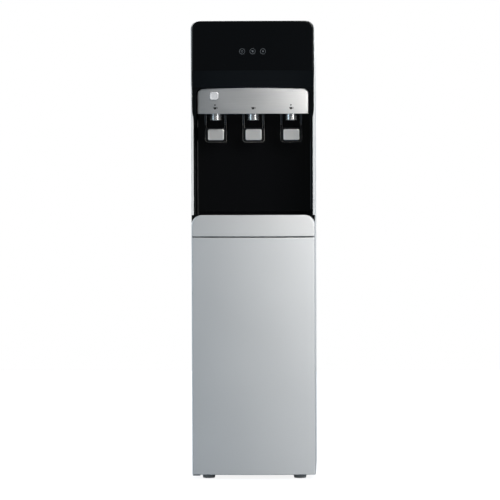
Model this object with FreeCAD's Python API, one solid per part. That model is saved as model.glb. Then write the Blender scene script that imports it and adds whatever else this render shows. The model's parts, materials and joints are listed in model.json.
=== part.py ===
import FreeCAD, Part
import math
import os

# Bottom load water cooler: a bottle cabinet with a bowed door, a dispensing niche with three taps over a drip
# tray, and a glossy head. Millimetres, +Z up, the front faces -Y, the origin is the middle of the footprint.

# ---------------------------------------------------------------- overall form
width = 310.0
depth = 360.0
height = 1150.0
front_bow = 10.0              # how far the middle of the door stands in front of its side edges
front_corner = 5.0            # plan radius at the side edges of the bowed front
foot_height = 12.0

# ---------------------------------------------------------------- levels, from the floor up
door_lift = 0.6               # running gap between the door and the plate of the lower hinge
door_seam = 3.0               # gap between the door and the fascia
fascia_height = 53.4
niche_height = 238.0
skirt_height = 15.0           # black band between the niche ceiling and the silver shroud
shroud_height = 65.0
slope_height = 44.0           # part of the head that leans back from the crease to the shroud
head_height = 123.0           # from the crease to the top; the door takes what height is left

# ---------------------------------------------------------------- sheets, walls and clearances
sheet = 1.0                   # side and back panels
shelf_sheet = 1.2             # deck and tank shelf
wall = 2.5                    # moulded covers
touch_gap = 0.3               # between faces that only lie beside each other
pin_play = 0.05               # radial play of a pin or stem in its hole

# ---------------------------------------------------------------- side panels, base and back
door_edge = 10.0              # depth of the door's side edge, in front of the panels
hem_width = 6.0               # pale strip that shows beside the niche
hem_depth = 14.0
rear_flange = 14.0
cap_height = 24.0             # top cover, above the side panels
shoulder_radius = 20.0
condenser_space = 17.0        # from the back panel to the rearmost point
base_wall = 3.0
base_rim = 32.0
base_sill = 14.0
base_corner = 8.0
foot_radius = 17.0
foot_inset_x = 40.0
foot_inset_y = 38.0
bottle_room = 11.0            # between the ring and the sides of the pan
ring_width = 4.0
ring_height = 4.0

# ---------------------------------------------------------------- door and hinges
door_gap = 1.2                # between the back of the door and the panels
pivot_inset = 5.0             # hinge axis from the side of the cabinet
pivot_depth = 6.5             # hinge axis in front of the panels
pin_radius = 2.5
pin_length = 8.0
pin_boss = 3.8
leaf = 1.5
lower_leaf = 2.0
leaf_width = 19.0
leaf_reach = 16.0
leaf_rise = 22.0
door_rear_corner = 3.5
liner_wall = 2.0
liner_inset = 12.0
liner_depth = 13.0
liner_corner = 10.0
liner_panel_border = 34.0
liner_lift = 3.0              # liner above the rim of the base pan
grip_length = 130.0
grip_depth = 4.0
grip_drop = 178.6             # foot of the finger groove below the top of the door
magnet_length = 40.0
magnet_height = 12.0
magnet_inset = 45.0
deck_flange = 18.0

# ---------------------------------------------------------------- fascia, niche, tray
fascia_corner = 19.0
apron = 2.0
apron_height = 28.0
apron_inset = 0.5
niche_depth = 110.0
niche_corner = 6.0
tray_height = 24.0
tray_wall = 2.0
tray_ledge = 2.0
tray_play = 0.6
grille_thick = 3.0
grille_border = 9.0
slot_width = 5.0
slot_pitch = 10.0
stand_rib = 3.0
rib_share = 0.6               # outer ribs, as a share of the half width

# ---------------------------------------------------------------- head
mask_wall = 3.0
mask_inset_top = 2.8          # the sides of the head are slightly barrelled
mask_inset_crease = 1.6
mask_inset_low = 2.7
mask_setback = 15.5           # lower part of the head, behind the crease
mask_low_bow = 3.0
mask_low_corner = 0.8
mask_rim = 14.0               # rim of the mask that reaches back between the panels
cheek_curve_height = 30.0
cheek_curve_width = 5.0
board_width = 110.0
board_height = 46.0
board_thick = 1.6
board_setback = 7.0
icon_rise = 47.0              # icons above the crease
icon_pitch = 26.0
pad_radius = 6.5
boss_radius = 3.0

# ---------------------------------------------------------------- shroud and taps
shroud_inset = 14.0
shroud_recess = 2.0           # shroud behind the lower face of the head
shroud_bow = 8.0
shroud_end = 12.0
shroud_corner = 13.0
shroud_arch = 3.0
shroud_depth = 15.0
shroud_play = 0.4
tap_margin = 60.0             # axis of an outer tap from the side of the cabinet
tap_setback = 38.5            # nozzle axis behind the panel fronts
housing_plate = 3.0
skirt_wall = 2.5
skirt_setback = 58.5
nozzle_radius = 14.5
nozzle_length = 19.0
nozzle_lip = 1.8
spout_radius = 11.0
spout_bore = 4.5
nozzle_play = 0.15
tap_flange_radius = 16.0
tap_flange = 3.0
chamber_radius = 8.0
chamber_height = 21.5
tap_cap = 2.5
inlet_radius = 6.0
inlet_bore = 3.5
inlet_reach = 28.0
inlet_rise = 14.5
stem_radius = 2.5
seal_radius = 7.4
seal_height = 4.0
collar_radius = 6.0
collar_height = 3.0
collar_lift = 1.0             # free play between the lever and the collar
seat_sink = 0.5               # valve seat below the face of the flange
valve_spring_radius = 6.0
valve_spring_wall = 2.6

# ---------------------------------------------------------------- levers
lever_half = 27.3
rail = 5.0
pivot_ahead = 15.0            # lever axis in front of the nozzle axis
lever_pivot_rise = 32.5       # lever axis above the housing plate
lever_pin = 2.0
lever_eye = 4.5
lever_thick = 5.2
lever_drop = 57.0             # from the niche ceiling to the bottom of the lever
paddle_height = 36.0
paddle_setback = 15.0         # face of the paddle behind the nozzle axis
lever_corner = 7.0
finger_length = 3.0
finger_height = 3.0
plate_width = 40.0
plate_height = 27.0
plate_thick = 3.2
plate_seat = 1.5
plate_corner = 4.0
plate_ease = 1.0
plate_rim = 3.0
plate_dish = 0.6
plate_play = 0.1
plate_low = 5.2
ear_thick = 3.0
ear_gap = 0.5
ear_depth = 11.0

# ---------------------------------------------------------------- child lock
lock_shift = 2.0              # lock button beside the left tap
lock_rise = 45.0
lock_width = 22.0
lock_height = 20.0
lock_corner = 5.0
lock_proud = 2.0
lock_length = 6.5
lock_play = 0.4
lock_spring_radius = 4.0
lock_spring_length = 8.0
guide_wall = 1.6
guide_width = 24.0
guide_height = 54.0

# ---------------------------------------------------------------- machine room
compressor_radius = 58.0
compressor_margin = 5.0       # foot plate from the side of the cabinet
compressor_back = 102.0       # axis in front of the rear flanges
compressor_height = 150.0
compressor_top = 35.0
compressor_low = 20.0
compressor_seam = 3.0
compressor_foot = 3.0
compressor_foot_x = 124.0
compressor_foot_y = 130.0
grommet_radius = 8.0
grommet_height = 8.0
grommet_inset = 11.0
relay_width = 40.0
relay_depth = 10.0
relay_height = 36.0
hot_radius = 50.0
hot_margin = 6.0              # tank from the side of the cabinet
hot_y = 30.0
hot_height = 156.0
hot_lift = 32.0
hot_dome = 18.0
hot_skirt_wall = 2.0
shelf_lift = 224.0            # tank shelf above the deck
foam_margin = 55.0            # foam from the sides of the cabinet
foam_back = 16.5              # foam in front of the rear flanges
foam_height = 244.0
foam_corner = 8.0
foam_gap = 3.0                # foam and shelf behind the niche liner
foam_wall = 20.0
cold_height = 184.0
cold_dome = 20.0
cold_base = 30.0
neck_radius = 10.0
fit_gap = 0.3
pump_back = 60.0              # pump axis in front of the rear flanges
pump_width = 40.0
pump_head_depth = 35.0
pump_head_height = 40.0
pump_plate = 2.0
motor_radius = 17.0
motor_length = 60.0
port_radius = 4.0
port_height = 12.0
port_spread = 10.0
hose_radius = 4.0
hose_bend = 11.0
copper_radius = 3.0
copper_bend = 9.0
tube_sides = 8                # bent hoses and tubes are swept as octagons
hot_hose_offset = 33.0        # hoses beside the axis of the hot tank
delivery_offset = 36.0
feed_offset_x = 20.0
feed_offset_y = 14.0
suction_offset = 41.0         # tubes beside the axis of the compressor
discharge_offset = 14.0

# ---------------------------------------------------------------- condenser, switches, outlets on the back
coil_tube = 2.5
coil_passes = 9
coil_pitch = 45.0
coil_inset = 59.0
coil_lift = 48.9              # lowest pass above the deck
coil_end_inset = 27.0
coil_setback = 12.5
wire = 1.6
wire_pitch = 12.0
wire_overhang = 12.0
clip_width = 7.0
clip_height = 16.0
vent_width = 56.0
vent_height = 6.0
vent_pitch = 15.0
vent_rows = 7
vent_x = 70.0
vent_lift = 76.9              # lowest vent above the deck
screw_head = 4.0
screw_height = 2.2
screw_rows = 5
switch_inset = 43.0
switch_drop = 30.0            # switches below the top of the panels
switch_pitch = 25.0
switch_plate_width = 56.0
switch_plate_height = 34.0
switch_plate_thick = 2.0
switch_tub = 14.0
switch_wall = 2.0
rocker_width = 12.0
rocker_half = 8.6
rocker_rise = 5.0
rocker_waist = 3.6
rocker_base = 4.0
rocker_tilt = 8.0
rocker_pin = 1.5
rocker_play = 0.4
rocker_room = 10.4
gland_inset = 95.0
gland_lift = 20.9             # gland above the deck
gland_radius = 11.0
gland_flange = 3.0
gland_length = 17.0
gland_tip = 6.0
gland_bore = 3.6
drain_lift = 17.9             # drain above the deck
drain_radius = 6.5
drain_bore = 4.5
drain_flange = 12.0
drain_stub = 10.0
drain_plate = 2.0
plug_radius = 11.0
plug_length = 7.0
plug_depth = 8.0

# ---------------------------------------------------------------- bottle probe
probe_inset = 30.0            # probe from the side and from the rear flanges
probe_tube = 6.0
probe_bore = 4.0
probe_lift = 28.0             # foot of the parked probe above the base pan
probe_hang = 63.9             # hook below the deck
probe_cap_radius = 24.0
probe_cap_height = 26.0
probe_wall = 2.5
probe_stub = 10.0
hook_thick = 3.0
hook_reach = 44.0

V = FreeCAD.Vector
UP = V(0, 0, 1)
RIGHT = V(1, 0, 0)
BACK = V(0, 1, 0)

# ---------------------------------------------------------------- places that follow from the sizes
half = width / 2
front_y = -depth / 2
edge_y = front_y + front_bow
panel_y = edge_y + door_edge
back_y = depth / 2 - condenser_space
flange_y = back_y - sheet
inner_half = half - sheet
hem_half = half - hem_width
base_z = foot_height
door_z = base_z + door_lift
crease_z = height - head_height
shroud_top = crease_z - slope_height
shroud_z = shroud_top - shroud_height
niche_top = shroud_z - skirt_height
fascia_top = niche_top - niche_height
fascia_z = fascia_top - fascia_height
door_top = fascia_z - door_seam
panel_top = height - cap_height
door_back = panel_y - door_gap
fascia_back = panel_y - apron
niche_half = hem_half - wall
niche_y = panel_y + niche_depth
deck_z = fascia_z + touch_gap
deck_top = deck_z + shelf_sheet
shelf_z = deck_top + shelf_lift
shelf_top = shelf_z + shelf_sheet
tray_z = fascia_top - touch_gap - tray_height - grille_thick / 2
tray_top = tray_z + tray_height
mask_low_y = front_y + mask_setback
shroud_y = mask_low_y + shroud_recess
tap_y = panel_y + tap_setback
skirt_y = panel_y + skirt_setback
plate_z = shroud_z + wall
plate_top = plate_z + housing_plate
pivot_x = -half + pivot_inset
pivot_y = panel_y - pivot_depth
lever_y = tap_y - pivot_ahead
lever_z = plate_top + lever_pivot_rise
grip_level = door_top - grip_drop
magnet_place = half - magnet_inset
mask_half_top = half - mask_inset_top
mask_half_crease = half - mask_inset_crease
mask_half_low = half - mask_inset_low
icon_level = crease_z + icon_rise
shroud_half = half - shroud_inset
tap_pitch = half - tap_margin
lock_place = -tap_pitch - lock_shift
bottle_radius = hem_half - base_wall - bottle_room
compressor_x = half - compressor_margin - compressor_foot_x / 2
compressor_y = flange_y - compressor_back
hot_x = hot_margin + hot_radius - half
pump_x = (compressor_x - compressor_foot_x / 2 + hot_x + hot_radius) / 2
foam_y = niche_y + wall + foam_gap
foam_width = width - 2 * foam_margin
foam_depth = flange_y - foam_back - foam_y
cold_radius = foam_depth / 2 - foam_wall
cold_y = foam_y + foam_depth / 2
pump_y = flange_y - pump_back
coil_half = half - coil_inset
coil_low = deck_top + coil_lift
coil_top = coil_low + (coil_passes - 1) * coil_pitch
coil_end = half - coil_end_inset
wire_count = int(coil_half / wire_pitch)
clip_place = (wire_count - 1.5) * wire_pitch
vent_low = deck_top + vent_lift
switch_x = half - switch_inset
switch_z = panel_top - switch_drop
gland_x = half - gland_inset
gland_z = deck_top + gland_lift
drain_z = deck_top + drain_lift
probe_x = probe_inset - half
probe_y = flange_y - probe_inset
probe_low = base_z + probe_lift
probe_cap_z = deck_z - probe_hang
hose_side_x = hot_x - hot_hose_offset
delivery_x = hot_x - delivery_offset
feed_x = hot_x + feed_offset_x
feed_y = hot_y + feed_offset_y
suction_x = compressor_x + suction_offset
valve_seat_z = plate_top + tap_flange - seat_sink
taps = {"left": -tap_pitch, "middle": 0.0, "right": tap_pitch}
parts = {}


# ================================================================ tools for making shapes
def box(x0, x1, y0, y1, z0, z1):
    return Part.makeBox(x1 - x0, y1 - y0, z1 - z0, V(x0, y0, z0))


def rod(radius, start, end):
    start = V(*start)
    run = V(*end) - start
    return Part.makeCylinder(radius, run.Length, start, run)


def pipe(radius, bore, start, end):
    return rod(radius, start, end).cut(rod(bore, start, end))


def flat(points):
    corners = [V(*point) for point in points]
    return Part.Face(Part.makePolygon(corners + corners[:1]))


def plan(points, z0, z1):
    """Extrude a plan outline between two levels."""
    return flat([(x, y, z0) for x, y in points]).extrude(UP * (z1 - z0))


def side(points, x0, x1):
    """Extrude a side view, given as (y, z), between two planes across the width."""
    return flat([(x0, y, z) for y, z in points]).extrude(RIGHT * (x1 - x0))


def turned(profile, x, y):
    """Turn an (r, z) profile about the upright line through x, y."""
    solid = flat([(r, 0, z) for r, z in profile]).revolve(V(0, 0, 0), UP, 360)
    solid.translate(V(x, y, 0))
    return solid


def turned_back(profile, x, z):
    """Turn an (r, y) profile about the line that runs back through x, z."""
    solid = flat([(r, y, 0) for r, y in profile]).revolve(V(0, 0, 0), BACK, 360)
    solid.translate(V(x, 0, z))
    return solid


def rounded(solid, radius, along, wanted=lambda centre: True):
    """Fillet the straight edges that run along a direction and that the test picks by their middle."""
    chosen = []
    for edge in solid.Edges:
        if edge.Curve.TypeId != "Part::GeomLine":
            continue
        run = edge.Vertexes[-1].Point - edge.Vertexes[0].Point
        if run.cross(along).Length < 1e-6 * run.Length and wanted(edge.CenterOfMass):
            chosen.append(edge)
    return solid.makeFillet(radius, chosen)


def slab(x0, x1, y0, y1, z0, z1, radius, along=UP):
    """A block whose edges along one direction are rounded."""
    return rounded(box(x0, x1, y0, y1, z0, z1), radius, along)


def bowed_wire(half_width, front, back, bow, corner, level, rear_corner=0.0):
    """Plan outline whose front bows forward, with rounded front corners, as one wire."""
    shallow = front + bow
    arc = Part.Arc(V(-half_width, shallow, 0), V(0, front, 0), V(half_width, shallow, 0)).toShape()
    corners = [V(half_width, shallow, 0), V(half_width, back, 0)]
    corners += [V(-half_width, back, 0), V(-half_width, shallow, 0)]
    outline = Part.Wire([arc] + list(Part.makePolygon(corners).Edges))
    block = Part.Face(outline).extrude(UP)
    block = rounded(block, corner, UP, lambda c: c.y < shallow + 1e-3)
    if rear_corner:
        block = rounded(block, rear_corner, UP, lambda c: c.y > back - 1e-3)
    low = min(block.Faces, key=lambda face: face.CenterOfMass.z)
    wire = low.OuterWire.copy()
    wire.translate(UP * level)
    return wire


def bowed_block(half_width, front, back, bow, corner, z0, z1, rear_corner=0.0):
    wire = bowed_wire(half_width, front, back, bow, corner, z0, rear_corner)
    return Part.Face(wire).extrude(UP * (z1 - z0))


def front_view(half_width, z0, z1, radius, y0, y1):
    """A block from the front to the back whose two upper corners are rounded in the front view."""
    block = box(-half_width, half_width, y0, y1, z0, z1)
    return rounded(block, radius, BACK, lambda c: c.z > z1 - 1e-3)


def swept(edges, radius, start, direction):
    """Sweep an eight-sided tube section along joined edges, from a start point and direction."""
    direction = V(direction).normalize()
    across = direction.cross(UP if abs(direction.z) < 0.5 else RIGHT).normalize()
    rim = []
    for index in range(tube_sides + 1):
        turn = FreeCAD.Rotation(direction, 360.0 * index / tube_sides)
        rim.append(start + turn.multVec(across * radius))
    return Part.Wire(edges).makePipeShell([Part.makePolygon(rim)], True, False)


def tube_along(points, radius, bend):
    """A tube along straight runs joined by tangent arcs of one bend radius."""
    points = [V(*point) for point in points]
    edges = []
    start = points[0]
    for before, corner, after in zip(points, points[1:], points[2:]):
        towards = (before - corner).normalize()
        onwards = (after - corner).normalize()
        reach = bend / math.tan(towards.getAngle(onwards) / 2)
        middle = (towards + onwards).normalize()
        mid = corner + middle * (math.hypot(bend, reach) - bend)
        edges.append(Part.LineSegment(start, corner + towards * reach).toShape())
        edges.append(Part.Arc(corner + towards * reach, mid, corner + onwards * reach).toShape())
        start = corner + onwards * reach
    edges.append(Part.LineSegment(start, points[-1]).toShape())
    return swept(edges, radius, points[0], points[1] - points[0])


def domed(radius, low, top, dome, foot=0.0):
    """Profile of an upright vessel with a rounded top and, if asked, a rounded foot."""
    profile = [(0, low)]
    for share in ((0.0, 0.33, 0.67, 1.0) if foot else (1.0,)):
        angle = math.pi / 2 * share
        profile.append((radius - foot + foot * math.sin(angle), low + foot - foot * math.cos(angle)))
    for share in (0.0, 0.33, 0.67, 1.0):
        angle = math.pi / 2 * share
        profile.append((radius - dome + dome * math.cos(angle), top - dome + dome * math.sin(angle)))
    return profile + [(0, top)]


def mirrored(shape):
    return shape.mirror(V(0, 0, 0), RIGHT)


def keep(name, *solids):
    parts[name] = solids[0] if len(solids) == 1 else Part.makeCompound(list(solids))


# ================================================================ casing
def side_panel():
    """Folded sheet: a boxed hem in front, a flat side, and a flange behind for the back panel."""
    hem = hem_half
    outline = [(half, panel_y), (half, flange_y), (half - rear_flange, flange_y)]
    outline += [(half - rear_flange, flange_y - sheet), (inner_half, flange_y - sheet)]
    outline += [(inner_half, panel_y + sheet), (hem + sheet, panel_y + sheet)]
    outline += [(hem + sheet, panel_y + hem_depth), (hem, panel_y + hem_depth), (hem, panel_y)]
    panel = plan(outline, base_z, panel_top)
    return rounded(panel, sheet * 1.5, UP, lambda c: c.x > half - 1e-3 or c.y < panel_y + 1e-3)


def base_pan():
    """Moulded pan that ties the panels together and carries the bottle on a raised ring."""
    rear = flange_y - sheet
    pan = box(-hem_half, hem_half, panel_y, panel_y + hem_depth, base_z, base_z + base_rim)
    pan = pan.fuse(box(-inner_half, inner_half, panel_y + hem_depth, rear, base_z, base_z + base_rim))
    inside = slab(-hem_half + base_wall, hem_half - base_wall, panel_y + base_wall, rear - base_wall,
                  base_z + base_wall, base_z + base_rim, base_corner)
    sill = box(-hem_half, hem_half, panel_y - 1, panel_y + hem_depth,
               base_z + base_sill, base_z + base_rim)
    floor = base_z + base_wall
    ring_y = panel_y + hem_depth + bottle_radius
    ring = pipe(bottle_radius, bottle_radius - ring_width,
                (0, ring_y, floor), (0, ring_y, floor + ring_height))
    pan = pan.cut(inside).cut(sill.cut(box(-half, half, panel_y + base_wall, 0, base_z, height)))
    return pan.fuse(ring).removeSplitter()


def feet():
    pads = []
    front = panel_y + foot_inset_y
    rear = flange_y - foot_inset_y
    profile = [(0, 0), (foot_radius - 2, 0), (foot_radius, foot_height), (0, foot_height)]
    for x in (-half + foot_inset_x, half - foot_inset_x):
        for y in (front, rear):
            pads.append(turned(profile, x, y))
    return pads


def back_panel():
    """Flat sheet on the rear flanges, with vents, outlets and the hook that parks the bottle probe."""
    reach = half - sheet * 2
    panel = box(-reach, reach, flange_y, back_y, base_z, panel_top)
    for row in range(vent_rows):
        for x in (-vent_x, vent_x):
            low = vent_low + row * vent_pitch
            panel = panel.cut(box(x - vent_width / 2, x + vent_width / 2, flange_y - 1, back_y + 1,
                                  low, low + vent_height))
    tub_half = switch_plate_width / 2 - switch_wall
    tub_rise = switch_plate_height / 2 - switch_wall
    panel = panel.cut(box(switch_x - tub_half, switch_x + tub_half, flange_y - 1, back_y + 1,
                          switch_z - tub_rise, switch_z + tub_rise))
    for x, z, radius in outlets():
        panel = panel.cut(rod(radius, (x, flange_y - 1, z), (x, back_y + 1, z)))
    hook = box(touch_gap + rear_flange - half, probe_x + probe_cap_radius, flange_y - hook_reach, flange_y,
               probe_cap_z - hook_thick, probe_cap_z)
    slot_half = probe_tube + 1.0
    notch = box(probe_x - slot_half, probe_x + slot_half, flange_y - hook_reach, probe_y,
                probe_cap_z - hook_thick, probe_cap_z)
    hook_low = probe_cap_z - hook_thick
    notch = notch.fuse(rod(slot_half, (probe_x, probe_y, hook_low), (probe_x, probe_y, probe_cap_z)))
    return panel.fuse(hook.cut(notch))


def outlets():
    """Round holes in the back panel, as (x, z, radius)."""
    tube_hole = coil_tube + 1.0
    holes = [(gland_x, gland_z, gland_bore + 2.0), (hot_x, drain_z, drain_radius + fit_gap)]
    return holes + [(coil_end, coil_low, tube_hole), (coil_end, coil_top, tube_hole)]


def deck():
    """Sheet over the bottle cabinet. Its front edge turns down and stops the door."""
    front = panel_y + hem_depth
    sheet_top = box(-inner_half, inner_half, front, flange_y - sheet, deck_z, deck_top)
    lip = box(-hem_half, hem_half, front, front + shelf_sheet, deck_z - deck_flange, deck_z)
    hole = rod(hose_radius + fit_gap, (probe_x, probe_y, deck_z - 1), (probe_x, probe_y, deck_top + 1))
    return sheet_top.fuse(lip).cut(hole)


def tank_shelf():
    front = foam_y
    rear = flange_y - sheet
    shelf = box(-inner_half, inner_half, front, rear, shelf_z, shelf_top)
    for x in (-inner_half, inner_half - shelf_sheet):
        shelf = shelf.fuse(box(x, x + shelf_sheet, front, rear, shelf_z - deck_flange, shelf_z))
    for x, y, radius in shelf_holes():
        shelf = shelf.cut(rod(radius, (x, y, shelf_z - 1), (x, y, shelf_top + 1)))
    return shelf


def shelf_holes():
    """Where hoses and copper tubes pass the tank shelf, as (x, y, radius)."""
    hose = hose_radius + 1.0
    return [(hose_side_x, hot_y, hose), (delivery_x, pump_y, hose), (feed_x, feed_y, hose),
            (suction_x, compressor_y, copper_radius + 1.0)]


def top_cover():
    """Moulded lid with rounded shoulders, open below."""
    start = panel_y + touch_gap
    lid = front_view(half, panel_top, height, shoulder_radius, start, back_y)
    inside = front_view(half - wall, panel_top - 1, height - wall, shoulder_radius - wall,
                        start - 1, back_y - wall)
    return lid.cut(inside)


# ================================================================ door
def door_skin():
    skin = bowed_block(half, front_y, door_back, front_bow, front_corner, door_z, door_top,
                       door_rear_corner)
    inside = bowed_block(half - wall, front_y + wall, door_back + 1, front_bow, front_corner - wall,
                         door_z + wall, door_top - wall)
    skin = skin.cut(inside)
    sink = pin_length + 1.0
    for start, end in ((door_z, door_z + sink + wall), (door_top - sink - wall, door_top)):
        skin = skin.fuse(rod(pin_boss, (pivot_x, pivot_y, start), (pivot_x, pivot_y, end)))
    for start, end in ((door_z - 1, door_z + sink), (door_top - sink, door_top + 1)):
        skin = skin.cut(rod(pin_radius + pin_play, (pivot_x, pivot_y, start), (pivot_x, pivot_y, end)))
    groove = [(half - grip_depth, door_back + 0.01), (half + 1, door_back + 0.01)]
    groove += [(half + 1, door_back - grip_depth - 1)]
    return skin.cut(plan(groove, grip_level, grip_level + grip_length))


def door_liner():
    """Inner face of the door: a rim inside the skin and a shallow pan that reaches into the cabinet."""
    gap = fit_gap
    rim_half = half - wall - gap
    rim = box(-rim_half, rim_half - grip_depth, door_back - liner_wall, door_back,
              door_z + wall + gap, door_top - wall - gap)
    pan_half = half - liner_inset
    low = base_z + base_rim + liner_lift
    top = deck_z - deck_flange - liner_inset / 2
    pan = slab(-pan_half, pan_half, door_back - liner_wall, door_back + liner_depth, low, top,
               liner_corner, BACK)
    hollow = slab(-pan_half + liner_wall, pan_half - liner_wall, door_back - liner_wall - 1,
                  door_back + liner_depth - liner_wall, low + liner_wall, top - liner_wall,
                  liner_corner - liner_wall, BACK)
    border = liner_panel_border
    panel = slab(-pan_half + border, pan_half - border, door_back + liner_depth - liner_wall / 2,
                 door_back + liner_depth + 1, low + border, top - border, liner_corner, BACK)
    liner = rim.fuse(pan).cut(hollow).cut(panel)
    return liner.cut(rod(pin_boss + gap, (pivot_x, pivot_y, base_z), (pivot_x, pivot_y, height)))


def hinge_plates():
    """Upper leaf in the seam over the door, lower leaf under the base, each with its pin."""
    left = -half + 1.0
    right = left + leaf_width
    tip = pivot_y - pivot_inset + 1.0
    upper_z = door_top + (door_seam - leaf) / 2
    upper = box(left, right, tip, panel_y, upper_z, upper_z + leaf)
    upper = upper.fuse(box(left, right, panel_y - leaf, panel_y, upper_z, upper_z + leaf_rise))
    upper = upper.fuse(rod(pin_radius, (pivot_x, pivot_y, upper_z),
                           (pivot_x, pivot_y, door_top - pin_length)))
    lower = box(left, right, tip, panel_y + leaf_reach, base_z - lower_leaf, base_z)
    lower = lower.fuse(rod(pin_radius, (pivot_x, pivot_y, base_z - lower_leaf),
                           (pivot_x, pivot_y, door_z + pin_length)))
    corner = pivot_inset - 1.5
    wanted = lambda c: c.y < tip + 1e-3
    return [rounded(upper, corner, UP, wanted), rounded(lower, corner, UP, wanted)]


def door_magnet():
    back = panel_y + hem_depth
    top = deck_z - (deck_flange - magnet_height) / 2
    return slab(magnet_place - magnet_length / 2, magnet_place + magnet_length / 2,
                door_back + touch_gap, back, top - magnet_height, top, 2.0, BACK)


# ================================================================ fascia, niche, drip tray
def fascia():
    skin = bowed_block(half, front_y, fascia_back, front_bow, front_corner, fascia_z, fascia_top)
    inside = bowed_block(half - wall, front_y + wall, fascia_back + 1, front_bow, front_corner - wall,
                         fascia_z + wall, fascia_top - wall)
    outline = front_view(half, fascia_z, fascia_top, fascia_corner, front_y - 1, panel_y)
    room = front_view(half - wall, fascia_z + wall, fascia_top - wall, fascia_corner - wall,
                      front_y - 1, panel_y)
    return skin.common(outline).cut(inside.common(room))


def niche_liner():
    """Black recess moulding: back, sides and ceiling, with cheeks that run up beside the taps."""
    back = niche_y + wall
    shell = rounded(box(-hem_half, hem_half, panel_y, back, tray_z, niche_top + wall),
                    niche_corner + wall, UP, lambda c: c.y > back - 1e-3)
    room = rounded(box(-niche_half, niche_half, panel_y - 1, niche_y, tray_z - 1, niche_top),
                   niche_corner, UP, lambda c: c.y > niche_y - 1e-3)
    way_up = box(-niche_half, niche_half, panel_y - 1, skirt_y, niche_top - 1, niche_top + wall)
    shell = shell.cut(room).cut(way_up)
    for x in (-hem_half, niche_half):
        shell = shell.fuse(box(x, x + wall, panel_y, skirt_y, niche_top, shroud_top))
    return shell.removeSplitter()


def tray_bed():
    """Floor of the niche on its ribs, with the upright face that stands behind the fascia."""
    low = tray_z - wall
    back = niche_y + wall
    bed = rounded(box(-hem_half, hem_half, panel_y, back, low, tray_z), niche_corner + wall, UP,
                  lambda c: c.y > back - 1e-3)
    for x in (-hem_half * rib_share, 0, hem_half * rib_share):
        bed = bed.fuse(box(x - stand_rib / 2, x + stand_rib / 2, panel_y + hem_depth, niche_y, deck_top, low))
    inset = hem_half - leaf_width
    bed = bed.fuse(box(-niche_half, niche_half, panel_y, panel_y + wall, low, fascia_top - touch_gap - wall))
    bed = bed.fuse(box(-half + apron_inset, half - apron_inset, fascia_back, panel_y,
                       fascia_top - apron_height, fascia_top - touch_gap))
    bed = bed.fuse(box(-inset, inset, fascia_back, panel_y, fascia_z, fascia_top - apron_height))
    return bed.removeSplitter()


def tray_block(inset, z0, z1):
    """The drip tray's outline, drawn in by an inset: straight in front, rounded behind."""
    play = tray_play + inset
    front = panel_y + wall + play
    rear = niche_y - play
    return rounded(box(-niche_half + play, niche_half - play, front, rear, z0, z1), niche_corner - inset, UP,
                   lambda c: c.y > rear - 1e-3)


def drip_tray():
    ledge = tray_top - grille_thick
    tray = tray_block(0, tray_z, tray_top)
    tray = tray.cut(tray_block(tray_wall + tray_ledge, tray_z + tray_wall, tray_top))
    return tray.cut(tray_block(tray_wall, ledge, tray_top + 1))


def drip_grille():
    """Slotted plate on the tray's inner ledge."""
    inset = tray_wall + touch_gap
    low = tray_top - grille_thick
    grille = tray_block(inset, low, tray_top)
    front = panel_y + wall + inset + grille_border
    rear = niche_y - inset - grille_border
    reach = niche_half - inset - grille_border - slot_width / 2
    count = int(reach / slot_pitch)
    for index in range(-count, count + 1):
        x = index * slot_pitch
        grille = grille.cut(box(x - slot_width / 2, x + slot_width / 2, front, rear, low - 1, tray_top + 1))
    return grille


# ================================================================ head
def mask_form(inset, back):
    """Outer form of the head, or the same form drawn in by the wall and open at the back."""
    low_y = mask_low_y + inset
    top_y = front_y + inset
    low_half = mask_half_low - inset
    corner = front_corner - inset / 2
    sections = [
        bowed_wire(low_half, low_y, back, mask_low_bow, mask_low_corner, niche_top),
        bowed_wire(low_half, low_y, back, mask_low_bow, mask_low_corner, shroud_top - inset / 2),
        bowed_wire(mask_half_crease - inset, top_y, back, front_bow, corner, crease_z - inset / 2),
        bowed_wire(mask_half_top - inset, top_y, back, front_bow, corner, height),
    ]
    form = Part.makeLoft(sections, True, True)
    view = front_view(mask_half_crease - inset, niche_top, height - inset, shoulder_radius - inset,
                      front_y - 1, back + 1)
    return form.common(view)


def shroud_view(grow, y0, y1):
    """Front view of the silver shroud: an arched top edge between rounded corners."""
    reach = shroud_half + grow
    low = shroud_z - grow
    top = shroud_top + grow
    ends = top - shroud_arch
    arc = Part.Arc(V(-reach, y0, ends), V(0, y0, top), V(reach, y0, ends)).toShape()
    rest = Part.makePolygon([V(reach, y0, ends), V(reach, y0, low), V(-reach, y0, low), V(-reach, y0, ends)])
    block = Part.Face(Part.Wire([arc] + list(rest.Edges))).extrude(BACK * (y1 - y0))
    return rounded(block, shroud_corner + grow, BACK, lambda c: c.z > ends - 1e-3)


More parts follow.
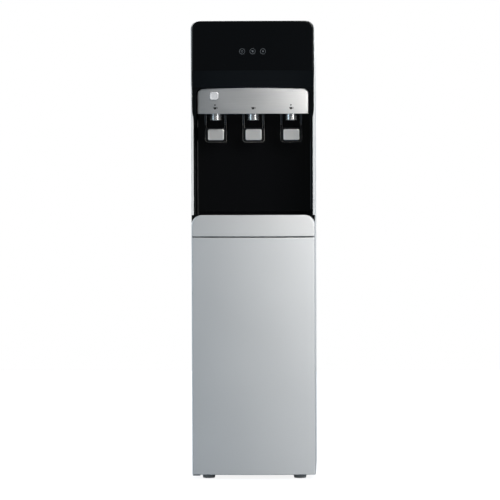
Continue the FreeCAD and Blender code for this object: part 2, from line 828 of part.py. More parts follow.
def head_mask():
    """Glossy shell with a window for the shroud, cheeks that curve in at their feet, and board bosses."""
    shell = mask_form(0, panel_y - touch_gap).cut(mask_form(mask_wall, panel_y + mask_rim))
    window = shroud_view(shroud_play, front_y - 1, panel_y + 1)
    below = box(-shroud_half - shroud_play, shroud_half + shroud_play, front_y - 1, panel_y + 1,
                niche_top - 1, shroud_z + shroud_corner)
    shell = shell.cut(window.fuse(below))
    reach = hem_half - touch_gap
    rim_top = panel_top - touch_gap
    corner = shoulder_radius - hem_width
    rim = front_view(reach, shroud_top, rim_top, corner, front_y, panel_y + mask_rim)
    hole = front_view(reach - wall, shroud_top - 1, rim_top - wall, corner - wall,
                      front_y - 1, panel_y + mask_rim + 1)
    shell = shell.fuse(rim.cut(hole).common(mask_form(mask_wall / 2, panel_y + mask_rim)))
    for sign in (-1, 1):
        shell = shell.cut(cheek_foot(sign))
    board_y = front_y + mask_wall + board_setback
    for x in (-1, 1):
        for z in (-1, 1):
            px = x * (board_width / 2 - boss_radius - 1)
            pz = icon_level + z * (board_height / 2 - boss_radius - 1)
            shell = shell.fuse(rod(boss_radius, (px, front_y + mask_wall / 2 + 1, pz), (px, board_y, pz)))
    return shell


def cheek_foot(sign):
    """What the curve at the foot of a cheek takes away."""
    outer = sign * (mask_half_low + 2)
    edge = sign * mask_half_low
    inner = sign * (mask_half_low - cheek_curve_width)
    low = niche_top - 1
    y0 = front_y - 1
    bend_z = niche_top + cheek_curve_height
    mid = V(edge - sign * cheek_curve_width * 0.22, y0, niche_top + cheek_curve_height * 0.42)
    arc = Part.Arc(V(edge, y0, bend_z), mid, V(inner, y0, niche_top)).toShape()
    rest = Part.makePolygon([V(inner, y0, niche_top), V(inner, y0, low), V(outer, y0, low),
                             V(outer, y0, bend_z), V(edge, y0, bend_z)])
    return Part.Face(Part.Wire([arc] + list(rest.Edges))).extrude(BACK * (panel_y + mask_rim - y0))


def control_board():
    """Board behind the touch icons, with a round sensor pad for each icon."""
    front = front_y + mask_wall + board_setback
    board = box(-board_width / 2, board_width / 2, front, front + board_thick,
                icon_level - board_height / 2, icon_level + board_height / 2)
    for index in (-1, 0, 1):
        x = index * icon_pitch
        reach = front_y + mask_wall + touch_gap + front_bow * (abs(x) + pad_radius) ** 2 / half ** 2
        board = board.fuse(rod(pad_radius, (x, front, icon_level), (x, reach, icon_level)))
    return board


# ================================================================ taps
def shroud():
    """Silver cover over the taps, with a bottom flange under the housing plate and the lock's window."""
    back = shroud_y + shroud_bow + shroud_depth
    form = bowed_block(shroud_half, shroud_y, back, shroud_bow, shroud_end, shroud_z, shroud_top)
    form = form.common(shroud_view(0, shroud_y - 1, back + 1))
    room = bowed_block(shroud_half - wall, shroud_y + wall, back + 1, shroud_bow, shroud_end - wall,
                       shroud_z + wall, shroud_top + 1)
    cover = form.cut(room)
    window = slab(lock_place - lock_width / 2 - lock_play, lock_place + lock_width / 2 + lock_play,
                  shroud_y - 1, shroud_y + shroud_bow + wall, lock_z() - lock_height / 2 - lock_play,
                  lock_z() + lock_height / 2 + lock_play, lock_corner + lock_play, BACK)
    trimmed = box(-shroud_half, shroud_half, shroud_y + shroud_bow + shroud_depth / 2, back + 1,
                  0, shroud_z + wall)
    return cover.cut(window).cut(trimmed)


def lock_z():
    return shroud_z + lock_rise


def tap_housing():
    """Moulding that carries the taps: a plate with slots for the levers, ears for their pins, and a skirt."""
    plate_front = shroud_y + shroud_bow + wall + touch_gap
    plate_half = shroud_half - wall - touch_gap
    housing = box(-plate_half, plate_half, plate_front, skirt_y, plate_z, plate_top)
    housing = rounded(housing, shroud_end, UP, lambda c: c.y < plate_front + 1e-3)
    skirt = box(-niche_half, niche_half, skirt_y - skirt_wall, skirt_y, niche_top, plate_top)
    housing = housing.fuse(skirt)
    eye_half = ear_depth / 2
    for x in taps.values():
        for sign in (-1, 1):
            inner = lever_half + ear_gap
            edges = sorted((x + sign * inner, x + sign * (inner + ear_thick)))
            ear = box(edges[0], edges[1], lever_y - eye_half, lever_y + eye_half, plate_top, lever_z)
            ear = ear.fuse(rod(eye_half, (edges[0], lever_y, lever_z), (edges[1], lever_y, lever_z)))
            housing = housing.fuse(ear)
            rails = sorted((x + sign * (lever_half + ear_gap), x + sign * (lever_half - rail - ear_gap)))
            housing = housing.cut(box(rails[0], rails[1], lever_y - 1, skirt_y - skirt_wall - 2,
                                      plate_z - 1, plate_top))
        housing = housing.cut(rod(spout_radius + fit_gap, (x, tap_y, plate_z - 1),
                                  (x, tap_y, plate_top + 1)))
        reach = lever_half + ear_gap + ear_thick + 1
        housing = housing.cut(rod(lever_pin + pin_play, (x - reach, lever_y, lever_z),
                                  (x + reach, lever_y, lever_z)))
    guide_y = lock_back() + lock_spring_length
    guide = box(lock_place - guide_width / 2, lock_place + guide_width / 2, guide_y, guide_y + guide_wall,
                plate_top, plate_top + guide_height)
    return housing.fuse(rounded(guide, lock_corner, BACK, lambda c: c.z > plate_top + 1)).removeSplitter()


def lock_front():
    return shroud_y + shroud_bow * (lock_place / shroud_half) ** 2 - lock_proud


def lock_back():
    return lock_front() + lock_length


def lock_button():
    z = lock_z()
    button = slab(lock_place - lock_width / 2, lock_place + lock_width / 2, lock_front(), lock_back(),
                  z - lock_height / 2, z + lock_height / 2, lock_corner, BACK)
    rim = [edge for edge in button.Edges if edge.BoundBox.YMax < lock_front() + 1e-3]
    return button.makeChamfer(lock_proud / 2, rim)


def lock_spring():
    start = (lock_place, lock_back(), lock_z())
    end = (lock_place, lock_back() + lock_spring_length, lock_z())
    return pipe(lock_spring_radius, lock_spring_radius - 1, start, end)


def tap_body(x):
    """Valve body: a spout through the plate, a chamber with its seat, a lid for the stem, a rear inlet."""
    top = plate_top + tap_flange + chamber_height
    lid = top + tap_cap
    tip = niche_top + touch_gap
    seat = valve_seat_z
    profile = [(spout_bore, tip), (spout_radius, tip), (spout_radius, plate_top)]
    profile += [(tap_flange_radius, plate_top), (tap_flange_radius, plate_top + tap_flange)]
    profile += [(spout_radius, plate_top + tap_flange), (spout_radius, lid)]
    profile += [(stem_radius + pin_play, lid), (stem_radius + pin_play, top), (chamber_radius, top)]
    profile += [(chamber_radius, seat), (spout_bore, seat)]
    inlet_z = seat + inlet_rise
    inner = (x, tap_y + chamber_radius - 1, inlet_z)
    outer = (x, tap_y + inlet_reach, inlet_z)
    stub = rod(inlet_radius, (x, tap_y + chamber_radius + 0.5, inlet_z), outer)
    return turned(profile, x, tap_y).fuse(stub).cut(rod(inlet_bore, inner, outer))


def nozzle(x):
    """Chrome sleeve round the spout, with an eased lower lip."""
    inner = spout_radius + nozzle_play
    low = plate_z - nozzle_length
    profile = [(inner, low), (nozzle_radius - nozzle_lip, low), (nozzle_radius, low + nozzle_lip)]
    profile += [(nozzle_radius, plate_z), (inner, plate_z)]
    return turned(profile, x, tap_y)


def valve_stem(x):
    """Stem with the rubber seal at its foot and the collar that the lever lifts."""
    seat = valve_seat_z
    collar = lever_z + finger_height / 2 + collar_lift
    profile = [(0, seat), (seal_radius, seat), (seal_radius, seat + seal_height)]
    profile += [(stem_radius, seat + seal_height)]
    profile += [(stem_radius, collar), (collar_radius, collar), (collar_radius, collar + collar_height)]
    profile += [(0, collar + collar_height)]
    return turned(profile, x, tap_y)


def valve_spring(x):
    low = valve_seat_z + seal_height
    top = plate_top + tap_flange + chamber_height
    bore = valve_spring_radius - valve_spring_wall
    return pipe(valve_spring_radius, bore, (x, tap_y, low), (x, tap_y, top))


def lever_pins():
    reach = lever_half + ear_gap + ear_thick
    return [rod(lever_pin, (x - reach, lever_y, lever_z), (x + reach, lever_y, lever_z))
            for x in taps.values()]


def lever(x):
    """Forked lever: two rails from the pin down past the nozzle, a paddle behind it, and lifting fingers."""
    low = niche_top - lever_drop
    face = tap_y + paddle_setback
    knee = low + paddle_height
    bend = niche_top + 1.0
    reach = tap_y - pivot_ahead / 2
    thick = lever_thick
    front = [(face, low), (face, knee - 2), (reach, bend), (lever_y - thick / 2, lever_z)]
    rear = [(lever_y + thick / 2, lever_z), (reach + thick, bend + 1)]
    rear += [(face + thick, knee), (face + thick, low)]
    body = side(front + rear, x - lever_half, x + lever_half)
    window = box(x - lever_half + rail, x + lever_half - rail, face - 2 * pivot_ahead - thick, face + thick,
                 knee, lever_z + lever_eye)
    body = rounded(body, lever_corner, BACK, lambda c: c.z < low + 1e-3).cut(window)
    for sign in (-1, 1):
        edges = sorted((x + sign * lever_half, x + sign * (lever_half - rail)))
        eye = rod(lever_eye, (edges[0], lever_y, lever_z), (edges[1], lever_y, lever_z))
        arm = box(edges[0], edges[1], lever_y, tap_y + finger_length / 2, lever_z - finger_height / 2,
                  lever_z + finger_height / 2)
        tips = sorted((x + sign * (lever_half - rail), x + sign * (stem_radius + 1.0)))
        finger = box(tips[0], tips[1], tap_y - finger_length / 2, tap_y + finger_length / 2,
                     lever_z - finger_height / 2, lever_z + finger_height / 2)
        body = body.fuse(eye).fuse(arm).fuse(finger)
    bore = rod(lever_pin + pin_play, (x - half, lever_y, lever_z), (x + half, lever_y, lever_z))
    seat_z = low + plate_low
    reach = plate_width / 2 + plate_play
    pocket = slab(x - reach, x + reach, face - 1, face + plate_seat, seat_z - plate_play,
                  seat_z + plate_height + plate_play, plate_corner + plate_play, BACK)
    return body.cut(bore).cut(pocket)


def lever_plate(x):
    """Silver push plate in the paddle's pocket: a dished face inside an eased rim."""
    face = tap_y + paddle_setback
    low = niche_top - lever_drop + plate_low
    front = face + plate_seat - plate_thick
    plate = slab(x - plate_width / 2, x + plate_width / 2, front, face + plate_seat,
                 low, low + plate_height, plate_corner, BACK)
    rim = [edge for edge in plate.Edges if edge.BoundBox.YMax < front + 1e-3]
    plate = plate.makeChamfer(plate_ease, rim)
    reach = plate_width / 2 - plate_rim
    dish = slab(x - reach, x + reach, front - 1, front + plate_dish, low + plate_rim,
                low + plate_height - plate_rim, plate_corner / 2, BACK)
    return plate.cut(dish)


# ================================================================ machine room
def compressor():
    """Hermetic shell on a foot plate, with its welded seam, relay box and stubs."""
    low = deck_top + grommet_height
    foot = slab(compressor_x - compressor_foot_x / 2, compressor_x + compressor_foot_x / 2,
                compressor_y - compressor_foot_y / 2, compressor_y + compressor_foot_y / 2,
                low, low + compressor_foot, grommet_inset)
    base = low + compressor_foot
    top = base + compressor_height - compressor_foot
    shell = turned(domed(compressor_radius, base, top, compressor_top, compressor_low),
                   compressor_x, compressor_y)
    seam_z = base + compressor_height * 0.55
    seam = rod(compressor_radius + compressor_seam, (compressor_x, compressor_y, seam_z),
               (compressor_x, compressor_y, seam_z + compressor_seam))
    relay = slab(compressor_x - relay_width / 2, compressor_x + relay_width / 2,
                 compressor_y - compressor_radius - relay_depth, compressor_y,
                 base + compressor_low, base + compressor_low + relay_height, 3.0, BACK)
    return shell.fuse(seam).fuse(foot).fuse(relay).removeSplitter()


def compressor_grommets():
    pads = []
    for sx in (-1, 1):
        for sy in (-1, 1):
            x = compressor_x + sx * (compressor_foot_x / 2 - grommet_inset)
            y = compressor_y + sy * (compressor_foot_y / 2 - grommet_inset)
            profile = [(0, deck_top), (grommet_radius, deck_top)]
            profile += [(grommet_radius - 1.5, deck_top + grommet_height), (0, deck_top + grommet_height)]
            pads.append(turned(profile, x, y))
    return pads


def hot_tank():
    """Upright steel tank on a skirt ring."""
    low = deck_top + hot_lift
    top = low + hot_height
    tank = turned(domed(hot_radius, low, top, hot_dome), hot_x, hot_y)
    skirt = pipe(hot_radius, hot_radius - hot_skirt_wall, (hot_x, hot_y, deck_top), (hot_x, hot_y, low))
    port = rod(port_radius + 1, (hot_x, hot_y, top - 1), (hot_x, hot_y, top + port_height))
    return tank.fuse(skirt).fuse(port).removeSplitter()


def cold_tank():
    low = shelf_top + cold_base
    top = low + cold_height
    y = cold_y
    tank = turned(domed(cold_radius, low, top, cold_dome), 0, y)
    return tank.fuse(rod(neck_radius, (0, y, top - 1), (0, y, shelf_top + foam_height + 4.0)))


def insulation():
    """Foam block round the cold tank, with a hole for the tank's neck."""
    y = cold_y
    block = slab(-foam_width / 2, foam_width / 2, foam_y, foam_y + foam_depth,
                 shelf_top, shelf_top + foam_height, foam_corner)
    low = shelf_top + cold_base
    room = rod(cold_radius + fit_gap, (0, y, low), (0, y, low + cold_height + fit_gap))
    neck = rod(neck_radius + fit_gap, (0, y, low), (0, y, shelf_top + foam_height + 1))
    return block.cut(room.fuse(neck))


def pump():
    """Diaphragm pump: motor, head with two ports, and its plate on the deck."""
    plate = box(pump_x - pump_width / 2, pump_x + pump_width / 2, pump_y - pump_head_depth / 2 - motor_length,
                pump_y + pump_head_depth / 2, deck_top, deck_top + pump_plate)
    base = deck_top + pump_plate
    head = slab(pump_x - pump_width / 2, pump_x + pump_width / 2, pump_y - pump_head_depth / 2,
                pump_y + pump_head_depth / 2, base, base + pump_head_height, 5.0, BACK)
    axis_z = base + motor_radius + 1.0
    motor = rod(motor_radius, (pump_x, pump_y - pump_head_depth / 2 - motor_length, axis_z),
                (pump_x, pump_y, axis_z))
    saddle = box(pump_x - motor_radius / 2, pump_x + motor_radius / 2,
                 pump_y - pump_head_depth / 2 - motor_length + 6.0, pump_y, base, axis_z)
    whole = plate.fuse(head).fuse(motor).fuse(saddle)
    for sign in (-1, 1):
        x = pump_x + sign * port_spread
        whole = whole.fuse(rod(port_radius, (x, pump_y, base),
                               (x, pump_y, base + pump_head_height + port_height)))
    return whole


def water_hoses():
    """Probe to pump, pump to cold tank, cold tank to hot tank, and one hose to each tap."""
    port_z = deck_top + pump_plate + pump_head_height + port_height
    in_x = pump_x - port_spread
    out_x = pump_x + port_spread
    tap_z = valve_seat_z + inlet_rise
    inlet_y = tap_y + inlet_reach
    turn_z = port_z + 2 * hose_bend + 2
    run_z = shelf_z - 2.5 * hose_bend
    over_z = shelf_top + foam_height + 4.0 + 2 * hose_bend
    hot_top = deck_top + hot_lift + hot_height + port_height
    tap_row = inlet_y + 2 * hose_bend + 2
    probe_line = [(probe_x, probe_y, deck_top), (probe_x, probe_y, turn_z), (in_x, probe_y, turn_z),
                  (in_x, pump_y, turn_z), (in_x, pump_y, port_z)]
    delivery = [(out_x, pump_y, port_z), (out_x, pump_y, run_z), (delivery_x, pump_y, run_z),
                (delivery_x, pump_y, over_z), (0, cold_y, over_z),
                (0, cold_y, over_z - 2 * hose_bend)]
    hot_z = hot_top + 1.2 * hose_bend
    hot_line = [(hot_x, hot_y, hot_top), (hot_x, hot_y, hot_z), (hose_side_x, hot_y, hot_z),
                (hose_side_x, hot_y, tap_z), (hose_side_x, tap_row, tap_z), (taps["left"], tap_row, tap_z),
                (taps["left"], inlet_y, tap_z)]
    lines = [tube_along(path, hose_radius, hose_bend) for path in (probe_line, delivery, hot_line)]
    for x in (taps["middle"], taps["right"]):
        lines.append(rod(hose_radius, (x, inlet_y, tap_z), (x, foam_y, tap_z)))
    feed_low = deck_top + hot_lift + hot_height
    lines.append(rod(hose_radius, (feed_x, feed_y, feed_low), (feed_x, feed_y, shelf_top)))
    return lines


def copper_tubes():
    """Discharge line to the condenser, its return to the evaporator in the foam, and the suction line."""
    turn_y = flange_y - 3 * copper_bend
    shell_x = compressor_x + discharge_offset
    shell_y = compressor_y + math.sqrt(compressor_radius ** 2 - (discharge_offset - copper_radius) ** 2)
    discharge = [(coil_end, back_y, coil_low), (coil_end, turn_y, coil_low), (shell_x, turn_y, coil_low),
                 (shell_x, shell_y + touch_gap, coil_low)]
    back_line = [(coil_end, back_y, coil_top), (coil_end, turn_y, coil_top),
                 (foam_width / 2, turn_y, coil_top)]
    level = shelf_top + foam_wall + cold_base
    inner_side = suction_offset - copper_radius
    dip = math.sqrt(compressor_top ** 2 - (inner_side + compressor_top - compressor_radius) ** 2)
    shell_z = deck_top + grommet_height + compressor_height - compressor_top + dip
    suction = [(foam_width / 2, compressor_y, level), (suction_x, compressor_y, level),
               (suction_x, compressor_y, shell_z)]
    return [tube_along(path, copper_radius, copper_bend) for path in (discharge, back_line, suction)]


# ================================================================ outside of the back
def condenser():
    """Serpentine tube with upright wires welded on its two faces, and ends that turn in through the panel."""
    y = back_y + coil_setback
    edges = []
    start = V(coil_end, back_y, coil_low)
    bend = copper_bend
    corner = V(coil_end, y, coil_low)
    edges.append(Part.LineSegment(start, corner - BACK * bend).toShape())
    mid = corner - BACK * bend - RIGHT * bend + (BACK + RIGHT) * (bend * math.sqrt(0.5))
    edges.append(Part.Arc(corner - BACK * bend, mid, corner - RIGHT * bend).toShape())
    here = corner - RIGHT * bend
    sign = -1
    for index in range(coil_passes - 1):
        z = coil_low + index * coil_pitch
        there = V(sign * coil_half, y, z)
        edges.append(Part.LineSegment(here, there).toShape())
        turn = V(sign * (coil_half + coil_pitch / 2), y, z + coil_pitch / 2)
        here = V(sign * coil_half, y, z + coil_pitch)
        edges.append(Part.Arc(there, turn, here).toShape())
        sign = -sign
    corner = V(coil_end, y, coil_top)
    edges.append(Part.LineSegment(here, corner - RIGHT * bend).toShape())
    mid = corner - BACK * bend - RIGHT * bend + (BACK + RIGHT) * (bend * math.sqrt(0.5))
    edges.append(Part.Arc(corner - RIGHT * bend, mid, corner - BACK * bend).toShape())
    end = V(coil_end, back_y, corner.z)
    edges.append(Part.LineSegment(corner - BACK * bend, end).toShape())
    solids = [swept(edges, coil_tube, start, BACK)]
    low = coil_low - wire_overhang
    top = corner.z + wire_overhang
    for index in range(-wire_count, wire_count + 1):
        x = index * wire_pitch
        face = y + coil_tube if index % 2 else y - coil_tube - wire
        solids.append(box(x - wire / 2, x + wire / 2, face, face + wire, low, top))
    return solids


def condenser_clips():
    """Stand-offs on the back panel that grip the tube between two wires."""
    clips = []
    y = back_y + coil_setback
    for x in (-clip_place, clip_place):
        for index in (1, coil_passes - 2):
            z = coil_low + index * coil_pitch
            block = box(x - clip_width / 2, x + clip_width / 2, back_y, y + coil_tube + 1.0,
                        z - clip_height / 2, z + clip_height / 2)
            clips.append(block.cut(rod(coil_tube + 0.1, (x - clip_width, y, z), (x + clip_width, y, z))))
    return clips


def panel_screws():
    """Hexagon-headed screws down both rear flanges."""
    heads = []
    first = base_z + base_rim / 2
    step = (panel_top - first - screw_head * 4) / (screw_rows - 1)
    for x in (-half + rear_flange / 2, half - rear_flange / 2):
        for row in range(screw_rows):
            z = first + row * step
            corners = []
            for index in range(6):
                angle = math.radians(60 * index)
                corners.append((x + screw_head * math.cos(angle), back_y, z + screw_head * math.sin(angle)))
            heads.append(flat(corners).extrude(BACK * screw_height))
    return heads


def cord_gland():
    """Tapered bush that the mains lead would pass through."""
    inner = flange_y - 6.0
    neck = gland_bore + 1.7
    profile = [(gland_bore, inner), (neck, inner), (neck, back_y), (gland_radius, back_y)]
    profile += [(gland_radius, back_y + gland_flange), (neck + 2.5, back_y + gland_flange)]
    profile += [(gland_tip, back_y + gland_length), (gland_bore, back_y + gland_length)]
    return turned_back(profile, gland_x, gland_z)


def drain_spout():
    """Pipe from the foot of the hot tank through the back panel."""
    start = hot_y + hot_radius
    profile = [(drain_bore, start), (drain_radius, start), (drain_radius, back_y), (drain_flange, back_y)]
    profile += [(drain_flange, back_y + drain_plate), (drain_radius, back_y + drain_plate)]
    profile += [(drain_radius, back_y + drain_stub), (drain_bore, back_y + drain_stub)]
    return turned_back(profile, hot_x, drain_z)


def drain_plug():
    end = back_y + drain_stub
    core = drain_bore - pin_play
    profile = [(0, end - plug_depth), (core, end - plug_depth), (core, end), (plug_radius, end)]
    profile += [(plug_radius, end + plug_length - 1), (plug_radius - 1, end + plug_length)]
    profile += [(0, end + plug_length)]
    return turned_back(profile, hot_x, drain_z)


def switch_axis_y():
    return back_y + switch_plate_thick - rocker_waist


def switch_places():
    return (switch_x - switch_pitch / 2, switch_x + switch_pitch / 2)


def switch_plate():
    """Plate and tub for the two rocker switches."""
    half_w = switch_plate_width / 2
    half_h = switch_plate_height / 2
    plate = slab(switch_x - half_w, switch_x + half_w, back_y, back_y + switch_plate_thick,
                 switch_z - half_h, switch_z + half_h, 3.0, BACK)
    tub_w = half_w - switch_wall - fit_gap
    tub_h = half_h - switch_wall - fit_gap
    plate = plate.fuse(box(switch_x - tub_w, switch_x + tub_w, back_y - switch_tub, back_y,
                           switch_z - tub_h, switch_z + tub_h))
    for x in switch_places():
        reach = rocker_width / 2 + rocker_play
        plate = plate.cut(box(x - reach, x + reach, back_y - switch_tub + switch_wall,
                              back_y + switch_plate_thick, switch_z - rocker_room, switch_z + rocker_room))
        pin = reach + 1.2
        plate = plate.cut(rod(rocker_pin + pin_play, (x - pin, switch_axis_y(), switch_z),
                              (x + pin, switch_axis_y(), switch_z)))
    return plate


def rocker(x):
    """Rocker cap, stored tilted to its off side."""
    y = switch_axis_y()
    z = switch_z
    outline = [(y + rocker_rise, z + rocker_half), (y + rocker_waist, z), (y + rocker_rise, z - rocker_half)]
    outline += [(y - rocker_base, z - rocker_half * 0.6), (y - rocker_base, z + rocker_half * 0.6)]
    cap = side(outline, x - rocker_width / 2, x + rocker_width / 2)
    pin = rocker_width / 2 + rocker_play + 0.8
    cap = cap.fuse(rod(rocker_pin, (x - pin, y, z), (x + pin, y, z)))
    cap.rotate(V(x, y, z), RIGHT, -rocker_tilt)
    return cap


# ================================================================ bottle probe
def probe():
    """Dip tube with the cap that seals on a bottle's neck."""
    cap_top = probe_cap_z + probe_cap_height
    profile = [(probe_tube, probe_cap_z + probe_cap_height - probe_wall)]
    profile += [(probe_cap_radius - probe_wall, cap_top - probe_wall)]
    profile += [(probe_cap_radius - probe_wall, probe_cap_z), (probe_cap_radius, probe_cap_z)]
    profile += [(probe_cap_radius, cap_top - 4), (probe_cap_radius - 4, cap_top)]
    profile += [(probe_tube, cap_top)]
    cap = turned(profile, probe_x, probe_y)
    tube = rod(probe_tube, (probe_x, probe_y, probe_low), (probe_x, probe_y, cap_top + probe_stub))
    bore = rod(probe_bore, (probe_x, probe_y, probe_low), (probe_x, probe_y, cap_top + probe_stub))
    return cap.fuse(tube).cut(bore)


def probe_hose():
    top = probe_cap_z + probe_cap_height + probe_stub
    return rod(hose_radius, (probe_x, probe_y, top), (probe_x, probe_y, deck_top))


# ================================================================ the pieces
right_panel = side_panel()
keep("side_panel_right", right_panel)
keep("side_panel_left", mirrored(right_panel))
keep("base_pan", base_pan())
keep("feet", *feet())
keep("back_panel", back_panel())
keep("deck", deck())
keep("tank_shelf", tank_shelf())
keep("top_cover", top_cover())
keep("door_skin", door_skin())
keep("door_liner", door_liner())
keep("hinge_plates", *hinge_plates())
keep("door_magnet", door_magnet())
keep("fascia", fascia())
keep("niche_liner", niche_liner())
keep("tray_bed", tray_bed())
keep("drip_tray", drip_tray())
keep("drip_grille", drip_grille())
keep("head_mask", head_mask())
keep("control_board", control_board())
keep("shroud", shroud())
keep("tap_housing", tap_housing())
keep("lever_pins", *lever_pins())
for place, tap_x in taps.items():
    keep("tap_body_" + place, tap_body(tap_x))
    keep("nozzle_" + place, nozzle(tap_x))
    keep("valve_stem_" + place, valve_stem(tap_x))
    keep("valve_spring_" + place, valve_spring(tap_x))
    keep("lever_" + place, lever(tap_x))
    keep("lever_plate_" + place, lever_plate(tap_x))
keep("lock_button", lock_button())
keep("lock_spring", lock_spring())
keep("compressor", compressor())
keep("compressor_grommets", *compressor_grommets())
keep("hot_tank", hot_tank())
keep("cold_tank", cold_tank())
keep("insulation", insulation())
keep("pump", pump())
keep("water_hoses", *water_hoses())
keep("copper_tubes", *copper_tubes())
keep("condenser", *condenser(), *condenser_clips())
keep("panel_screws", *panel_screws())
keep("cord_gland", cord_gland())
keep("drain_spout", drain_spout())
keep("drain_plug", drain_plug())
keep("switch_plate", switch_plate())
for name, switch_place in zip(("hot_switch", "cold_switch"), switch_places()):
    keep(name, rocker(switch_place))
keep("probe", probe())
keep("probe_hose", probe_hose())

os.makedirs("parts", exist_ok=True)
for name, shape in parts.items():
    shape.exportStep("parts/" + name + ".step")
print(len(parts), "parts")
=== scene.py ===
import json
import math

import bmesh
import bpy
from mathutils import Matrix, Vector


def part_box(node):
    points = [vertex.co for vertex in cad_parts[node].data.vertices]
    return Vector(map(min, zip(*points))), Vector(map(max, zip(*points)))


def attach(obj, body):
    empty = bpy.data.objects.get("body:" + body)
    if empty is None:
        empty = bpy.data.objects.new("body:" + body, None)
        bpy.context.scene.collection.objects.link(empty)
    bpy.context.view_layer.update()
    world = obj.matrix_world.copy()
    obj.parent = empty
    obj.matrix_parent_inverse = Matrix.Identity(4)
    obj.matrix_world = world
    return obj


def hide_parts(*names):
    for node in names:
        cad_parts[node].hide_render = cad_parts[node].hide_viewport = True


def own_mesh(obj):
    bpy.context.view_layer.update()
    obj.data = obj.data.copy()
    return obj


# Looks of a bottom load water cooler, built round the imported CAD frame. Metres, +Z up, the front faces -Y.
# The shaping functions work in millimetres, and read sizes and places off the frame where it holds them.

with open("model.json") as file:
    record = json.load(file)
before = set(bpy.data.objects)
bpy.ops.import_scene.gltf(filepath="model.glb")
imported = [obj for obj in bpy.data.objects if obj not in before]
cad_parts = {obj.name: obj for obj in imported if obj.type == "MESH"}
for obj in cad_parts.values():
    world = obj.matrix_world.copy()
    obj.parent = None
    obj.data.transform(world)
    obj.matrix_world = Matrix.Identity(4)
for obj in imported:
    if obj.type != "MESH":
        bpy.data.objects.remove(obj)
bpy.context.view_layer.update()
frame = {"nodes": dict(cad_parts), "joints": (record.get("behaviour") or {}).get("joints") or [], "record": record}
nodes = frame["nodes"]
scene = bpy.context.scene
MM = 0.001
WHITE = (1.0, 1.0, 1.0)
SIDES = ("left", "middle", "right")


def corner_box(node):
    """Lowest and highest corner of a CAD node, in millimetres."""
    return [[round(value / MM, 3) for value in corner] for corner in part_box(node)]


def centre(node):
    """Middle of a CAD node's box, in millimetres."""
    return [(low + high) / 2 for low, high in zip(*corner_box(node))]


TAP_X = [centre("nozzle_" + side)[0] for side in SIDES]


# ================================================================ shader node groups
PATCH_SCALE = 7.0             # slow patches of tone
NOISE_DETAIL = 2.0
GRAIN_DEPTH = 0.0002          # metres
ROUGH_PER_TONE = 2.0          # how much more the roughness of a patch changes than its tone
# normals that take the painted highlight on the levers' edges
SIDE_TURN = (0.2, 0.97)       # parts of a normal that count as a rounded edge
DOWN_TURN = (-0.97, -0.15)


def new_group(name, inputs, outputs):
    """A shader group with named sockets: each is (name, kind) or (name, kind, default)."""
    group = bpy.data.node_groups.new(name, "ShaderNodeTree")
    for entry in inputs:
        socket = group.interface.new_socket(entry[0], in_out="INPUT", socket_type="NodeSocket" + entry[1])
        if len(entry) > 2:
            socket.default_value = entry[2]
    for label, kind in outputs:
        group.interface.new_socket(label, in_out="OUTPUT", socket_type="NodeSocket" + kind)
    return group, group.nodes.new("NodeGroupInput"), group.nodes.new("NodeGroupOutput")


def add(tree, kind, links=(), **settings):
    """Adds a node, sets its properties, and links or sets its inputs, given as (input, source or value)."""
    node = tree.nodes.new(kind)
    for key, value in settings.items():
        setattr(node, key, value)
    for key, source in links:
        if isinstance(source, bpy.types.NodeSocket):
            tree.links.new(source, node.inputs[key])
        else:
            node.inputs[key].default_value = source
    return node


def maths(tree, operation, *values):
    """One step of arithmetic on values or sockets."""
    return add(tree, "ShaderNodeMath", list(enumerate(values)), operation=operation).outputs[0]


def within(tree, value, low, high):
    """1 where a value lies between two limits."""
    above = maths(tree, "GREATER_THAN", value, low)
    return maths(tree, "MULTIPLY", above, maths(tree, "LESS_THAN", value, high))


def noise(tree, vector, scale):
    """Soft noise about one half."""
    links = [("Vector", vector), ("Scale", scale), ("Detail", NOISE_DETAIL), ("Roughness", 0.5)]
    return add(tree, "ShaderNodeTexNoise", links).outputs["Fac"]


def surface_group():
    """Slow patches of tone, fine grain and a bump, all from object coordinates."""
    inputs = [("Color", "Color"), ("Roughness", "Float", 0.4), ("Patch", "Float", 0.03),
              ("Grain", "Float", 0.02), ("Grain Scale", "Float", 900.0), ("Bump", "Float", 0.1),
              ("Stretch", "Vector", (1.0, 1.0, 1.0))]
    outputs = [("Color", "Color"), ("Roughness", "Float"), ("Normal", "Vector")]
    group, give, take = new_group("surface", inputs, outputs)
    spot = add(group, "ShaderNodeTexCoord").outputs["Object"]
    links = [(0, spot), (1, give.outputs["Stretch"])]
    grain_spot = add(group, "ShaderNodeVectorMath", links, operation="MULTIPLY").outputs[0]
    patch = noise(group, spot, PATCH_SCALE)
    grain = noise(group, grain_spot, give.outputs["Grain Scale"])
    tone = maths(group, "MULTIPLY", maths(group, "SUBTRACT", patch, 0.5), give.outputs["Patch"])
    fine = maths(group, "MULTIPLY", maths(group, "SUBTRACT", grain, 0.5), give.outputs["Grain"])
    value = maths(group, "ADD", maths(group, "ADD", tone, fine), 1.0)
    links = [("Color", give.outputs["Color"]), ("Value", value)]
    colour = add(group, "ShaderNodeHueSaturation", links).outputs[0]
    rough = maths(group, "ADD", give.outputs["Roughness"], maths(group, "MULTIPLY", tone, ROUGH_PER_TONE))
    rough = maths(group, "ADD", rough, fine)
    links = [("Strength", give.outputs["Bump"]), ("Distance", GRAIN_DEPTH), ("Height", grain)]
    bump = add(group, "ShaderNodeBump", links).outputs[0]
    for label, source in (("Color", colour), ("Roughness", rough), ("Normal", bump)):
        group.links.new(source, take.inputs[label])
    return group


